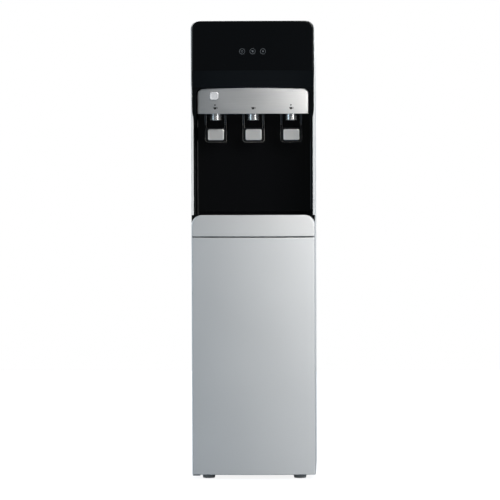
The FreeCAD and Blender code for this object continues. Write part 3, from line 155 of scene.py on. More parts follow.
def mask_group(name, inputs):
    """Starts a mask group: its tree, the sockets, and the way from the centre in the front view as x and z."""
    group, give, take = new_group(name, [("Centre", "Vector")] + inputs, [("Mask", "Float")])
    spot = add(group, "ShaderNodeTexCoord").outputs["Object"]
    links = [(0, spot), (1, give.outputs["Centre"])]
    offset = add(group, "ShaderNodeVectorMath", links, operation="SUBTRACT").outputs[0]
    way = add(group, "ShaderNodeSeparateXYZ", [("Vector", offset)]).outputs
    return group, give.outputs, take.inputs["Mask"], way["X"], way["Z"]


def ring_mask_group():
    """1 on a ring round a centre in the front view, or on a dot where its radius is 0."""
    inputs = [("Radius", "Float", 0.006), ("Line", "Float", 0.0006)]
    group, give, mask, x, z = mask_group("ring_mask", inputs)
    squares = maths(group, "ADD", maths(group, "MULTIPLY", x, x), maths(group, "MULTIPLY", z, z))
    away = maths(group, "SUBTRACT", maths(group, "SQRT", squares), give["Radius"])
    group.links.new(maths(group, "LESS_THAN", maths(group, "ABSOLUTE", away), give["Line"]), mask)
    return group


def cup_mask_group():
    """1 on a small cup with slanting sides."""
    inputs = [("Width", "Float", 0.007), ("Height", "Float", 0.006), ("Slant", "Float", 0.3)]
    group, give, mask, x, z = mask_group("cup_mask", inputs)
    slant = maths(group, "MULTIPLY", z, give["Slant"])
    side = maths(group, "ADD", maths(group, "MULTIPLY", give["Width"], 0.5), slant)
    inside = maths(group, "LESS_THAN", maths(group, "ABSOLUTE", x), side)
    rise = maths(group, "MULTIPLY", give["Height"], 0.5)
    level = maths(group, "LESS_THAN", maths(group, "ABSOLUTE", z), rise)
    group.links.new(maths(group, "MULTIPLY", inside, level), mask)
    return group


def glint_edge_mask_group():
    """1 on the rounded edges between a front and its sides, and on those of its lowest end: where the levers get
    their painted highlight.
    """
    group, give, take = new_group("edge_mask", [("Low End", "Float", 0.852)], [("Mask", "Float")])
    spot = add(group, "ShaderNodeTexCoord").outputs
    facing = add(group, "ShaderNodeSeparateXYZ", [("Vector", spot["Normal"])]).outputs
    height = add(group, "ShaderNodeSeparateXYZ", [("Vector", spot["Object"])]).outputs["Z"]
    side = within(group, maths(group, "ABSOLUTE", facing["X"]), *SIDE_TURN)
    down = within(group, facing["Z"], *DOWN_TURN)
    low = maths(group, "LESS_THAN", height, give.outputs["Low End"])
    down = maths(group, "MULTIPLY", down, low)
    group.links.new(maths(group, "MAXIMUM", side, down), take.inputs["Mask"])
    return group


SURFACE = surface_group()
RING = ring_mask_group()
CUP = cup_mask_group()
GLINT_EDGES = glint_edge_mask_group()


# ================================================================ materials
def material(name, colour, roughness=0.4, metallic=0.0, patch=0.03, grain=0.02, grain_scale=900.0, bump=0.1,
             stretch=(1.0, 1.0, 1.0), **extra):
    """A material from the shared surface group. Other shader inputs are given by name."""
    made = bpy.data.materials.new(name)
    made.use_nodes = True
    tree = made.node_tree
    tree.nodes.clear()
    values = [("Color", (*colour, 1.0)), ("Roughness", roughness), ("Patch", patch), ("Grain", grain),
              ("Grain Scale", grain_scale), ("Bump", bump), ("Stretch", stretch)]
    effect = add(tree, "ShaderNodeGroup", node_tree=SURFACE)
    for key, value in values:
        effect.inputs[key].default_value = value
    links = [("Base Color", effect.outputs["Color"]), ("Roughness", effect.outputs["Roughness"]),
             ("Normal", effect.outputs["Normal"]), ("Metallic", metallic)]
    links += [(key.replace("_", " ").title().replace("Ior", "IOR"), value) for key, value in extra.items()]
    shader = add(tree, "ShaderNodeBsdfPrincipled", links)
    add(tree, "ShaderNodeOutputMaterial", [("Surface", shader.outputs[0])])
    return made


def mark(tree, group, **values):
    """A mask from a mark group, with its inputs by name, in millimetres."""
    made = add(tree, "ShaderNodeGroup", node_tree=group)
    for key, value in values.items():
        value = [part * MM for part in value] if isinstance(value, tuple) else value * MM
        made.inputs[key.replace("_", " ")].default_value = value
    return made.outputs["Mask"]


def marks_in_colour(made, colour, masks):
    """Lays marks in one colour on a material: printed signs, and the painted highlight along the levers' edges."""
    tree = made.node_tree
    shader = tree.nodes["Principled BSDF"]
    total = masks[0]
    for mask in masks[1:]:
        total = maths(tree, "MAXIMUM", total, mask)
    base = shader.inputs["Base Color"].links[0].from_socket
    links = [(0, total), (6, base), (7, (*colour, 1.0))]
    mixed = add(tree, "ShaderNodeMix", links, data_type="RGBA").outputs[2]
    tree.links.new(mixed, shader.inputs["Base Color"])
    metal = shader.inputs["Metallic"].default_value
    if metal > 0.0:
        less = maths(tree, "MULTIPLY", maths(tree, "SUBTRACT", 1.0, total), metal)
        tree.links.new(less, shader.inputs["Metallic"])


ALONG_X = (0.02, 1.0, 1.0)    # stretch that draws the grain out into brushed lines
FINISHES = {                  # colour, roughness, metallic, and other inputs by name
    "case_sheet": ((0.62, 0.63, 0.64), 0.38, 0.0, dict(bump=0.06)),
    "back_sheet": ((0.70, 0.71, 0.72), 0.45, 0.0, dict(bump=0.08)),
    "inner_sheet": ((0.55, 0.56, 0.57), 0.35, 1.0, dict(patch=0.25, grain_scale=300.0)),
    "base_mould": ((0.022, 0.022, 0.024), 0.5, 0.0, dict(bump=0.4)),
    "foot_rubber": ((0.78, 0.78, 0.77), 0.7, 0.0, dict(bump=0.5)),
    "door_silver": ((0.665, 0.68, 0.695), 0.52, 0.7, dict(bump=0.04)),
    "fascia_silver": ((0.67, 0.68, 0.69), 0.52, 0.7, dict(bump=0.04)),
    "liner_mould": ((0.55, 0.55, 0.54), 0.45, 0.0, dict(bump=0.25)),
    "hinge_steel": ((0.50, 0.51, 0.52), 0.3, 1.0, dict(patch=0.1)),
    "magnet_rubber": ((0.02, 0.02, 0.022), 0.6, 0.0, dict(bump=0.3)),
    "niche_black": ((0.0015, 0.0016, 0.002), 0.07, 0.0, dict(bump=0.01, specular_ior_level=0.3)),
    "tray_black": ((0.006, 0.006, 0.0065), 0.14, 0.0, dict(bump=0.03)),
    "head_gloss": ((0.0015, 0.0019, 0.0024), 0.05, 0.0, dict(bump=0.01, specular_ior_level=0.3)),
    "board": ((0.01, 0.08, 0.035), 0.4, 0.0, dict(patch=0.3)),
    "shroud_silver": ((0.82, 0.83, 0.84), 0.34, 1.0,
                      dict(patch=0.05, grain=0.10, grain_scale=500.0, stretch=ALONG_X)),
    "button_silver": ((0.66, 0.67, 0.69), 0.35, 0.4, {}),
    "nozzle_chrome": ((0.80, 0.80, 0.80), 0.24, 0.86, dict(bump=0.0)),
    "lever_black": ((0.004, 0.004, 0.0045), 0.2, 0.0, dict(bump=0.02, coat_weight=0.6)),
    "plate_silver": ((0.70, 0.71, 0.71), 0.36, 0.9, dict(grain=0.08, grain_scale=500.0, stretch=ALONG_X)),
    "tap_mould": ((0.62, 0.61, 0.57), 0.45, 0.0, dict(bump=0.2)),
    "stem_steel": ((0.55, 0.55, 0.56), 0.2, 1.0, dict(stretch=(1.0, 1.0, 0.05))),
    "spring_steel": ((0.50, 0.50, 0.52), 0.25, 1.0, {}),
    "compressor_black": ((0.008, 0.008, 0.009), 0.3, 0.0, dict(bump=0.2)),
    "grommet_rubber": ((0.012, 0.012, 0.012), 0.8, 0.0, dict(bump=0.4)),
    "tank_steel": ((0.58, 0.58, 0.59), 0.25, 1.0, dict(grain=0.1, stretch=(1.0, 1.0, 0.03))),
    "foam": ((0.70, 0.66, 0.55), 0.9, 0.0, dict(patch=0.12, grain=0.1, grain_scale=250.0, bump=0.8)),
    "pump_black": ((0.012, 0.012, 0.014), 0.45, 0.0, dict(bump=0.3)),
    "hose_silicone": ((0.62, 0.62, 0.60), 0.4, 0.0, dict(subsurface_weight=0.2)),
    "copper": ((0.62, 0.27, 0.14), 0.28, 1.0, dict(patch=0.3)),
    "condenser_black": ((0.008, 0.008, 0.009), 0.35, 0.0, dict(bump=0.15)),
    "gland_black": ((0.01, 0.01, 0.011), 0.5, 0.0, dict(bump=0.3)),
    "switch_red": ((0.42, 0.012, 0.008), 0.25, 0.0, {}),
    "switch_blue": ((0.008, 0.05, 0.32), 0.25, 0.0, {}),
    "probe_mould": ((0.66, 0.66, 0.64), 0.45, 0.0, dict(bump=0.2)),
}
MATERIALS = {name: material(name, colour, rough, metal, **others)
             for name, (colour, rough, metal, others) in FINISHES.items()}

ICON_PITCH = 26.0             # touch icons on the head, in front of their board
ICON_RADIUS = 6.6
ICON_LINE = 0.4
ICON_COLOUR = (0.10, 0.11, 0.12)
CUP_LEVEL = 932.0             # signs over the taps: a cup with its handle, and a drop
DROP_LEVEL = 940.0
HANDLE_OUT, HANDLE_UP = 4.8, 0.6
SIGN_COLOUR = (0.02, 0.02, 0.022)
# painted highlight: a light grey line on the levers' rounded edges, and below this level on their lower edges
LEVER_LOW_END = 852.0
LEVER_GLINT_COLOUR = (0.33, 0.32, 0.30)


def head_icons():
    """Three ringed touch icons, with a small ring, a cup and a dot inside them."""
    tree = MATERIALS["head_gloss"].node_tree
    spots = [(x, 0.0, centre("control_board")[2]) for x in (-ICON_PITCH, 0.0, ICON_PITCH)]
    masks = [mark(tree, RING, Centre=spot, Radius=ICON_RADIUS, Line=ICON_LINE) for spot in spots]
    masks.append(mark(tree, RING, Centre=spots[0], Radius=2.2, Line=ICON_LINE))
    masks.append(mark(tree, CUP, Centre=spots[1], Width=4.0, Height=4.6))
    masks.append(mark(tree, RING, Centre=spots[2], Radius=0.0, Line=1.9))
    marks_in_colour(MATERIALS["head_gloss"], ICON_COLOUR, masks)


def tap_signs():
    """A cup over each tap, and a drop over the two outer ones."""
    tree = MATERIALS["shroud_silver"].node_tree
    masks = []
    for x in TAP_X:
        handle = (x + HANDLE_OUT, 0.0, CUP_LEVEL + HANDLE_UP)
        masks.append(mark(tree, CUP, Centre=(x, 0.0, CUP_LEVEL), Width=6.5, Height=5.6))
        masks.append(mark(tree, RING, Centre=handle, Radius=1.8, Line=0.35))
    for x in (TAP_X[0], TAP_X[-1]):
        masks.append(mark(tree, RING, Centre=(x, 0.0, DROP_LEVEL), Radius=0.0, Line=1.9))
    marks_in_colour(MATERIALS["shroud_silver"], SIGN_COLOUR, masks)


head_icons()
tap_signs()
# painted highlight on the black levers' edges, standing in for glints of light
lever_glint_mask = mark(MATERIALS["lever_black"].node_tree, GLINT_EDGES, Low_End=LEVER_LOW_END)
marks_in_colour(MATERIALS["lever_black"], LEVER_GLINT_COLOUR, [lever_glint_mask])
for entry in frame["record"]["subparts"]:
    mesh = nodes[entry["node"]].data
    mesh.materials.clear()
    mesh.materials.append(MATERIALS[entry["material_slot"]])


# ================================================================ shaping tools
def new_mesh(points, faces):
    """A mesh from points in millimetres."""
    mesh = bpy.data.meshes.new("shape")
    mesh.from_pydata([(x * MM, y * MM, z * MM) for x, y, z in points], [], faces)
    return mesh


def turned_out(mesh):
    """The same skin with every face turned outwards."""
    work = bmesh.new()
    work.from_mesh(mesh)
    bmesh.ops.recalc_face_normals(work, faces=work.faces)
    work.to_mesh(mesh)
    work.free()
    return mesh


def loft(rings, closed=False):
    """A skin through rings of equal length, in millimetres. It has flat ends, or its last ring meets its first."""
    count = len(rings[0])
    points = [point for ring in rings for point in ring]
    faces = []
    for level in range(len(rings) if closed else len(rings) - 1):
        low, high = level * count, (level + 1) % len(rings) * count
        for i in range(count):
            j = (i + 1) % count
            faces.append((low + i, low + j, high + j, high + i))
    if not closed:
        faces.append(tuple(reversed(range(count))))
        faces.append(tuple(range(len(points) - count, len(points))))
    return turned_out(new_mesh(points, faces))


def arc(start, stop, steps):
    """Angles in radians between two angles in degrees."""
    return [math.radians(start + (stop - start) * i / steps) for i in range(steps + 1)]


def bow_ring(half, front, bow, corner, back, z, reach, rear=0.4, steps=20):
    """One level of a form with a bowed front: forward on the left, across the front, and back on the right."""
    slope = math.atan(2 * bow * (half - corner) / reach ** 2)
    px = half - corner + corner * math.sin(slope)
    cy = front + bow * (px / reach) ** 2 + corner * math.cos(slope)
    turn = arc(math.degrees(slope), 90, 6)
    right = [(half - corner + corner * math.sin(a), cy - corner * math.cos(a)) for a in turn]
    right += [(half - rear + rear * math.cos(a), back - rear + rear * math.sin(a)) for a in arc(0, 90, 3)]
    across = [px * i / steps for i in range(1 - steps, steps)]
    middle = [(x, front + bow * (x / reach) ** 2) for x in across]
    left = [(-x, y) for x, y in reversed(right)]
    return [(x, y, z) for x, y in left + middle + right]


def eased(z0, z1, ease, steps=4):
    """Levels and insets that round both ends of a form, as (z, inset)."""
    low = [(z0 + ease * (1 - math.cos(a)), ease * (1 - math.sin(a))) for a in arc(0, 90, steps)]
    return low + [(z1 - (z - z0), inset) for z, inset in reversed(low)]


def shoulder(z, top, radius):
    """How far a rounded shoulder draws the side in at a level."""
    rise = max(0.0, z - top + radius)
    return radius - math.sqrt(max(0.0, radius ** 2 - rise ** 2))


def between(first, second, share):
    """The values that lie a share of the way from the first to the second."""
    return tuple(a + (b - a) * share for a, b in zip(first, second))


def linked(name, mesh):
    """An object of the mesh in the scene."""
    made = bpy.data.objects.new(name, mesh)
    scene.collection.objects.link(made)
    return made


def taken(target, *helpers):
    """The plain mesh of an object with its modifiers applied. The object and its helpers are removed."""
    graph = bpy.context.evaluated_depsgraph_get()
    made = bpy.data.meshes.new_from_object(target.evaluated_get(graph))
    for old in (target, *helpers):
        bpy.data.objects.remove(old)
    return made


def carve(mesh, *cutters):
    """The mesh less its cutters."""
    target = linked("target", mesh)
    tools = [linked("tool", cutter) for cutter in cutters]
    for tool in tools:
        step = target.modifiers.new("cut", "BOOLEAN")
        step.operation = "DIFFERENCE"
        step.solver = "EXACT"
        step.object = tool
    return taken(target, *tools)


def finished(mesh, kind, **settings):
    """A mesh with one modifier applied."""
    target = linked("target", mesh)
    step = target.modifiers.new(kind, kind)
    for key, value in settings.items():
        setattr(step, key, value)
    return taken(target)


def joined(*meshes):
    """One mesh of several."""
    whole = bmesh.new()
    for mesh in meshes:
        whole.from_mesh(mesh)
    made = bpy.data.meshes.new("joined")
    whole.to_mesh(made)
    whole.free()
    return made


def shade(mesh, angle):
    """Smooth faces, with an edge kept sharp where it turns more than the angle."""
    work = bmesh.new()
    work.from_mesh(mesh)
    for face in work.faces:
        face.smooth = True
    for edge in work.edges:
        edge.smooth = len(edge.link_faces) == 2 and edge.calc_face_angle(0.0) < math.radians(angle)
    work.to_mesh(mesh)
    work.free()


def place(name, mesh, slot_name, body, *replaced, angle=32.0):
    """Names a finished mesh, gives it its material and lets it stand for CAD nodes."""
    shade(mesh, angle)
    mesh = finished(mesh, "WEIGHTED_NORMAL", keep_sharp=True, weight=80)
    mesh.materials.clear()
    mesh.materials.append(MATERIALS[slot_name])
    made = linked(name, mesh)
    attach(made, body)
    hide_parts(*replaced)
    return made


def round_rect(x0, x1, z0, z1, radii, y):
    """A loop in the front view, with a radius for each corner from lower left round to upper left."""
    points = []
    corners = ((x0, z0, 1, 1, 180), (x1, z0, -1, 1, 270), (x1, z1, -1, -1, 0), (x0, z1, 1, -1, 90))
    for (x, z, sx, sz, start), r in zip(corners, radii):
        for a in arc(start, start + 90, 5):
            points.append((x + sx * r + r * math.cos(a), y, z + sz * r + r * math.sin(a)))
    return points


def plate_form(node, radii, steps):
    """A small plate in a node's place. Each step is (rise from its back, inset), out to the middle of its face."""
    (x0, _, z0), (x1, back, z1) = corner_box(node)
    rings = []
    for rise, inset in steps:
        inner = [max(r - inset, 0.3) for r in radii]
        rings.append(round_rect(x0 + inset, x1 - inset, z0 + inset, z1 - inset, inner, back - rise))
    return loft(rings)


def turned(profile, x, y, steps):
    """Rings of an (r, z) profile turned about the upright line through x, y."""
    angles = [2 * math.pi * i / steps for i in range(steps)]
    return [[(x + r * math.cos(a), y + r * math.sin(a), z) for r, z in profile] for a in angles]


def lathe(profile, x, y, steps=56):
    """A closed (r, z) profile turned into a skin."""
    return loft(turned(profile, x, y, steps), closed=True)


def tube(inner, outer, low, high, x, y):
    """A short upright tube, or a rod where the inner radius is next to nothing."""
    return lathe([(inner, low), (outer, low), (outer, high), (inner, high)], x, y, 24)


def soften(node, slot_name, body, width, segments=2):
    """A copy of a CAD node whose sharp edges are eased."""
    work = bmesh.new()
    work.from_mesh(nodes[node].data)
    bmesh.ops.remove_doubles(work, verts=work.verts, dist=1e-6)
    bmesh.ops.dissolve_limit(work, angle_limit=math.radians(0.3), verts=work.verts, edges=work.edges)
    mesh = bpy.data.meshes.new(node)
    work.to_mesh(mesh)
    work.free()
    made = finished(mesh, "BEVEL", width=width * MM, segments=segments, limit_method="ANGLE",
                    angle_limit=math.radians(40))
    return place(node + "_eased", made, slot_name, body, node, angle=38.0)


# ================================================================ patterns by rule
def geometry_tree(name, inputs):
    """A tree with named inputs. It ends in one material over whatever is linked to the returned socket."""
    tree = bpy.data.node_groups.new(name, "GeometryNodeTree")
    for label, kind in [("Geometry", "Geometry")] + inputs + [("Material", "Material")]:
        tree.interface.new_socket(label, in_out="INPUT", socket_type="NodeSocket" + kind)
    tree.interface.new_socket("Geometry", in_out="OUTPUT", socket_type="NodeSocketGeometry")
    give = tree.nodes.new("NodeGroupInput").outputs
    take = tree.nodes.new("NodeGroupOutput")
    coat = add(tree, "GeometryNodeSetMaterial", [("Material", give["Material"])])
    tree.links.new(coat.outputs[0], take.inputs[0])
    return tree, give, coat.inputs["Geometry"]


def row_tree():
    """Copies of one item along a straight line."""
    tree, give, finish = geometry_tree("row", [("Count", "Int"), ("Start", "Vector"), ("Step", "Vector")])
    links = [("Count", give["Count"]), ("Start Location", give["Start"]), ("Offset", give["Step"])]
    line = add(tree, "GeometryNodeMeshLine", links, mode="OFFSET")
    links = [("Points", line.outputs[0]), ("Instance", give["Geometry"])]
    copies = add(tree, "GeometryNodeInstanceOnPoints", links)
    real = add(tree, "GeometryNodeRealizeInstances", [("Geometry", copies.outputs[0])])
    tree.links.new(real.outputs[0], finish)
    return tree


def coil_tree():
    """A wire wound round an axis, from its place up to its length, and turned."""
    inputs = [("Place", "Vector"), ("Turn", "Rotation"), ("Radius", "Float"), ("Wire", "Float"),
              ("Length", "Float"), ("Rounds", "Float")]
    tree, give, finish = geometry_tree("coil", inputs)
    links = [("Resolution", 24), ("Rotations", give["Rounds"]), ("Start Radius", give["Radius"]),
             ("End Radius", give["Radius"]), ("Height", give["Length"])]
    path = add(tree, "GeometryNodeCurveSpiral", links).outputs[0]
    links = [("Resolution", 8), ("Radius", give["Wire"])]
    round_wire = add(tree, "GeometryNodeCurvePrimitiveCircle", links).outputs[0]
    links = [("Curve", path), ("Profile Curve", round_wire), ("Fill Caps", True)]
    wire = add(tree, "GeometryNodeCurveToMesh", links).outputs[0]
    links = [("Geometry", wire), ("Translation", give["Place"]), ("Rotation", give["Turn"])]
    moved = add(tree, "GeometryNodeTransform", links)
    real = add(tree, "GeometryNodeRealizeInstances", [("Geometry", moved.outputs[0])])
    tree.links.new(real.outputs[0], finish)
    return tree


def grown(tree, mesh, slot_name, **values):
    """The plain mesh that a tree makes of an item, with the tree's inputs by name."""
    target = linked("target", mesh)
    step = target.modifiers.new("rule", "NODES")
    step.node_group = tree
    values["Material"] = MATERIALS[slot_name]
    for entry in tree.interface.items_tree:
        if entry.in_out == "INPUT" and entry.name in values:
            step[entry.identifier] = values[entry.name]
    target.update_tag()
    return taken(target)


ROW = row_tree()
COIL = coil_tree()


# ================================================================ door, fascia, head
HALF = corner_box("door_skin")[1][0]
FRONT = corner_box("door_skin")[0][1]
BOW = 10.0                    # how far the middle of the front stands before its side edges
CORNER = 5.0                  # plan radius between the front and a side
WALL = 2.5                    # moulded covers
BEHIND = 9.0                  # how far a cutter runs on past an open back
HAIR = 0.01                   # radius at the axis of a solid of revolution

HEAD_HALF = corner_box("head_mask")[1][0]
HEAD_LOW = corner_box("head_mask")[0][2]
HEAD_TOP = corner_box("head_mask")[1][2]
HEAD_BACK = -160.3
HEAD_REACH = 153.0            # where the bow of the head is measured
HEAD_WALL = 3.0
HEAD_SHOULDER = 20.0
HEAD_RIM = 2.5                # radius along the upper edge of the front
CREASE_LEVEL = 1027.0
LOWER_BAND = (152.3, -164.5, 3.0, 0.8)               # half width, front, bow and corner under the lean
CREASE = (HEAD_HALF, FRONT, BOW, CORNER)
UPPER_FACE = (152.4, FRONT, BOW, CORNER)

SHROUD_LOW, SHROUD_HIGH = corner_box("shroud")
SHROUD_HALF = SHROUD_HIGH[0]
ARCH_DROP = 3.0               # of the shroud's upper edge towards its ends
WINDOW_CORNER = 13.0
WINDOW_PLAY = 0.4
CUT_THROUGH = (-200.0, -140.0)                       # reach of the cutters of windows, from front to rear


def door_piece():
    """Bowed outer skin with soft upper and lower edges, hollow behind, with a finger groove and pin sockets."""
    (_, _, low), (_, back, top) = corner_box("door_skin")
    edge_ease, rear_ease = 1.6, 3.4
    rings = [bow_ring(HALF - d, FRONT + d, BOW, CORNER - d, back, z, HALF, rear_ease)
             for z, d in eased(low, top, edge_ease)]
    room = [bow_ring(HALF - WALL, FRONT + WALL, BOW, CORNER - WALL, back + BEHIND, z, HALF)
            for z in (low + WALL, top - WALL)]
    groove_in, groove_out, groove_depth, skim = 4.0, 1.0, 5.0, 0.05
    groove = [[(HALF - groove_in, back + skim, z), (HALF + groove_out, back + skim, z),
               (HALF + groove_out, back + skim - groove_depth, z)] for z in (430.0, 560.0)]
    pin, boss, axis = 2.55, 3.8, (5.0 - HALF, back - 5.3)
    pin_depth, boss_start, boss_end, past = 9.0, 2.4, 11.5, 1.5
    pins = [tube(HAIR, pin, a, b, *axis)
            for a, b in ((low - past, low + pin_depth), (top - pin_depth, top + past))]
    bosses = [tube(pin, boss, a, b, *axis)
              for a, b in ((low + boss_start, low + boss_end), (top - boss_end, top - boss_start))]
    skin = carve(loft(rings), loft(room), loft(groove), *pins)
    place("door", joined(skin, *bosses), "door_silver", "door", "door_skin")


def fascia_piece():
    """Bowed band with rounded shoulders, hollow behind."""
    (_, _, low), (_, back, top) = corner_box("fascia")
    radius, low_ease, top_ease, least_corner, plain_level = 26.0, 1.2, 1.5, 3.0, 628.0
    levels = eased(low, top, low_ease)[:5] + [(plain_level, 0.0)]
    rings = [bow_ring(HALF - d, FRONT + d, BOW, max(CORNER - d, least_corner), back, z, HALF) for z, d in levels]
    for a in arc(0, 90, 14):
        z = top - radius + radius * math.sin(a)
        d = shoulder(z, top, top_ease)
        half = HALF - shoulder(z, top, radius)
        rings.append(bow_ring(half, FRONT + d, BOW, max(CORNER - d, least_corner), back, z, HALF))
    room = []
    bends = [top - radius + (radius - WALL) * math.sin(a) for a in arc(10, 90, 8)]
    for z in (low + WALL, top - radius, *bends):
        half = HALF - WALL - shoulder(z, top - WALL, radius - WALL)
        room.append(bow_ring(half, FRONT + WALL, BOW, CORNER - WALL, back + BEHIND, z, HALF))
    place("fascia_band", carve(loft(rings), loft(room)), "fascia_silver", "root", "fascia")


def head_levels(inset):
    """Levels of the head as (z, half width, front, bow, corner), drawn in by an inset."""
    tuck, tuck_height = 5.0, 30.0                    # how the lowest end of the outside draws in
    half, front, bow, corner = LOWER_BAND
    levels = []
    for rise in (0.0, 2.0, 5.0, 9.0, 14.0, 19.0, 24.0, 30.0, 78.0):
        drawn = tuck * (1 - min(1.0, rise / tuck_height)) ** 2 if inset == 0 else 0.0
        levels.append((HEAD_LOW + rise, half - drawn, front, bow, corner))
    bends = [(SHROUD_HIGH[2], *LOWER_BAND), (CREASE_LEVEL, *CREASE), (HEAD_TOP - HEAD_SHOULDER, *UPPER_FACE)]
    levels.append(between(bends[0], bends[1], 0.06))
    before, after = between(bends[1], bends[0], 0.05), between(bends[1], bends[2], 0.025)
    for t in (0.0, 0.25, 0.5, 0.75, 1.0):
        levels.append(tuple(p * (1 - t) ** 2 + 2 * q * t * (1 - t) + r * t * t
                            for p, q, r in zip(before, bends[1], after)))
    radius, top = HEAD_SHOULDER - inset, HEAD_TOP - inset
    half, front, bow, _ = UPPER_FACE
    taper, top_corner = 0.2, 4.0
    for a in arc(0, 90, 16):
        z = top - radius + radius * math.sin(a)
        side = half - taper * math.sin(a) - shoulder(z, top, radius)
        levels.append((z, side, front + shoulder(z, top, HEAD_RIM), bow, top_corner))
    return levels


def arch(x):
    """Height of the shroud's upper edge."""
    return SHROUD_HIGH[2] - ARCH_DROP * (x / SHROUD_HALF) ** 2


def window_loop(y):
    """Front view of the shroud's window, with an arched top between rounded corners, and open below."""
    reach, corner, below, steps = SHROUD_HALF + WINDOW_PLAY, WINDOW_CORNER + WINDOW_PLAY, 880.0, 12
    turn = reach - corner
    high = arch(turn) + WINDOW_PLAY
    left, right = [[(side * turn + corner * math.cos(a), y, high - corner + corner * math.sin(a)) for a in angles]
                   for side, angles in ((-1, arc(180, 95, 7)), (1, arc(85, 0, 7)))]
    across = [turn * i / steps for i in range(1 - steps, steps)]
    top = [(x, y, arch(x) + WINDOW_PLAY) for x in across]
    return [(-reach, y, below), *left, *top, *right, (reach, y, below)]


def head_piece():
    """Glossy mask: leaning lower face, faint crease, rounded shoulders, and a window for the shroud."""
    corner_drop, least_corner, open_below = 2.0, 0.8, 6.0
    rings = [bow_ring(half, front, bow, corner, HEAD_BACK, z, HEAD_REACH)
             for z, half, front, bow, corner in head_levels(0.0)]
    room = [bow_ring(half - HEAD_WALL, front + HEAD_WALL, bow, max(corner - corner_drop, least_corner),
                     HEAD_BACK + BEHIND, z, HEAD_REACH)
            for z, half, front, bow, corner in head_levels(HEAD_WALL)]
    room[0] = [(x, y, z - open_below) for x, y, z in room[0]]
    window = loft([window_loop(y) for y in CUT_THROUGH])
    place("head", carve(loft(rings), loft(room), window), "head_gloss", "root", "head_mask")


# ================================================================ shroud and taps
BUTTON_RADII = (4.0, 7.0, 7.0, 4.0)
BUTTON_PLAY = 0.4
BUTTON_STEPS = ((0.0, 0.0), (5.4, 0.0), (6.1, 0.3), (6.45, 1.0), (6.5, 2.0), (6.3, 4.0), (6.2, 6.0))
PLATE_RADII = (4.0, 4.0, 4.0, 4.0)
PLATE_STEPS = ((0.0, 0.0), (2.2, 0.0), (2.9, 0.3), (3.2, 1.0), (3.2, 1.9), (2.8, 2.3), (2.6, 3.0))


def shroud_piece():
    """Satin cover with an arched top edge, a folded lower lip and the window of the lock button."""
    radius, bow, corner, ends, sheet, lip_ease = 19.0, 7.0, 5.5, 3, 2.5, 0.9
    front, low, back = SHROUD_LOW[1], SHROUD_LOW[2], SHROUD_HIGH[1]
    turn = SHROUD_HALF - radius
    path = bow_ring(SHROUD_HALF, front, bow, corner, back, 0.0, SHROUD_HALF, 0.2)[ends:-ends]
    rings = []
    for i, (x, y, _) in enumerate(path):
        before, after = path[max(i - 1, 0)], path[min(i + 1, len(path) - 1)]
        along = Vector((after[0] - before[0], after[1] - before[1])).normalized()
        inward = Vector((-along.y, along.x))
        rest = max(0.0, abs(x) - turn)
        top = arch(min(abs(x), turn)) - radius + math.sqrt(max(0.0, radius ** 2 - rest ** 2))
        section = [(d, z) for z, d in eased(low, top, lip_ease, 3)] + [(sheet, top), (sheet, low)]
        rings.append([(x + inward.x * d, y + inward.y * d, z) for d, z in section])
    floor_half, floor_front, floor_back = SHROUD_HALF - 1.4, front + 1.3, back - 7.5
    floor_bow, floor_corner, floor_rises = 8.0, 10.6, (0.15, 2.4)
    floor = [bow_ring(floor_half, floor_front, floor_bow, floor_corner, floor_back, low + rise, SHROUD_HALF)
             for rise in floor_rises]
    (x0, _, z0), (x1, _, z1) = corner_box("lock_button")
    radii = [r + BUTTON_PLAY for r in BUTTON_RADII]
    window = [round_rect(x0 - BUTTON_PLAY, x1 + BUTTON_PLAY, z0 - BUTTON_PLAY, z1 + BUTTON_PLAY, radii, y)
              for y in CUT_THROUGH]
    cover = carve(loft(rings), loft(window))
    place("tap_shroud", joined(cover, loft(floor)), "shroud_silver", "root", "shroud")


def tap_pieces():
    """Nozzle sleeves with a rounded lip, dished push plates, and the cap of the lock button."""
    bore, lip, bore_ease, under = 11.2, 1.4, 0.4, 0.1
    for side in SIDES:
        low, high = corner_box("nozzle_" + side)
        x, y, _ = centre("nozzle_" + side)
        radius, foot, top = (high[0] - low[0]) / 2, low[2], high[2] - under
        edge = [(radius - lip * (1 - math.cos(a)), foot + lip * (1 - math.sin(a))) for a in arc(0, 90, 4)]
        profile = [(bore, top), (radius, top)] + edge + [(bore + bore_ease, foot), (bore, foot + bore_ease)]
        place("nozzle_sleeve_" + side, lathe(profile, x, y), "nozzle_chrome", "root", "nozzle_" + side)
        plate = plate_form("lever_plate_" + side, PLATE_RADII, PLATE_STEPS)
        place("push_plate_" + side, plate, "plate_silver", "lever_" + side, "lever_plate_" + side)
    button = plate_form("lock_button", BUTTON_RADII, BUTTON_STEPS)
    place("lock_cap", button, "button_silver", "lock", "lock_button")


# ================================================================ grille, screws, springs and hose
COIL_ROUNDS = 6.0
UPRIGHT_WIRE = 0.07           # wire radius as a share of the spring's length
LYING_WIRE = 0.05


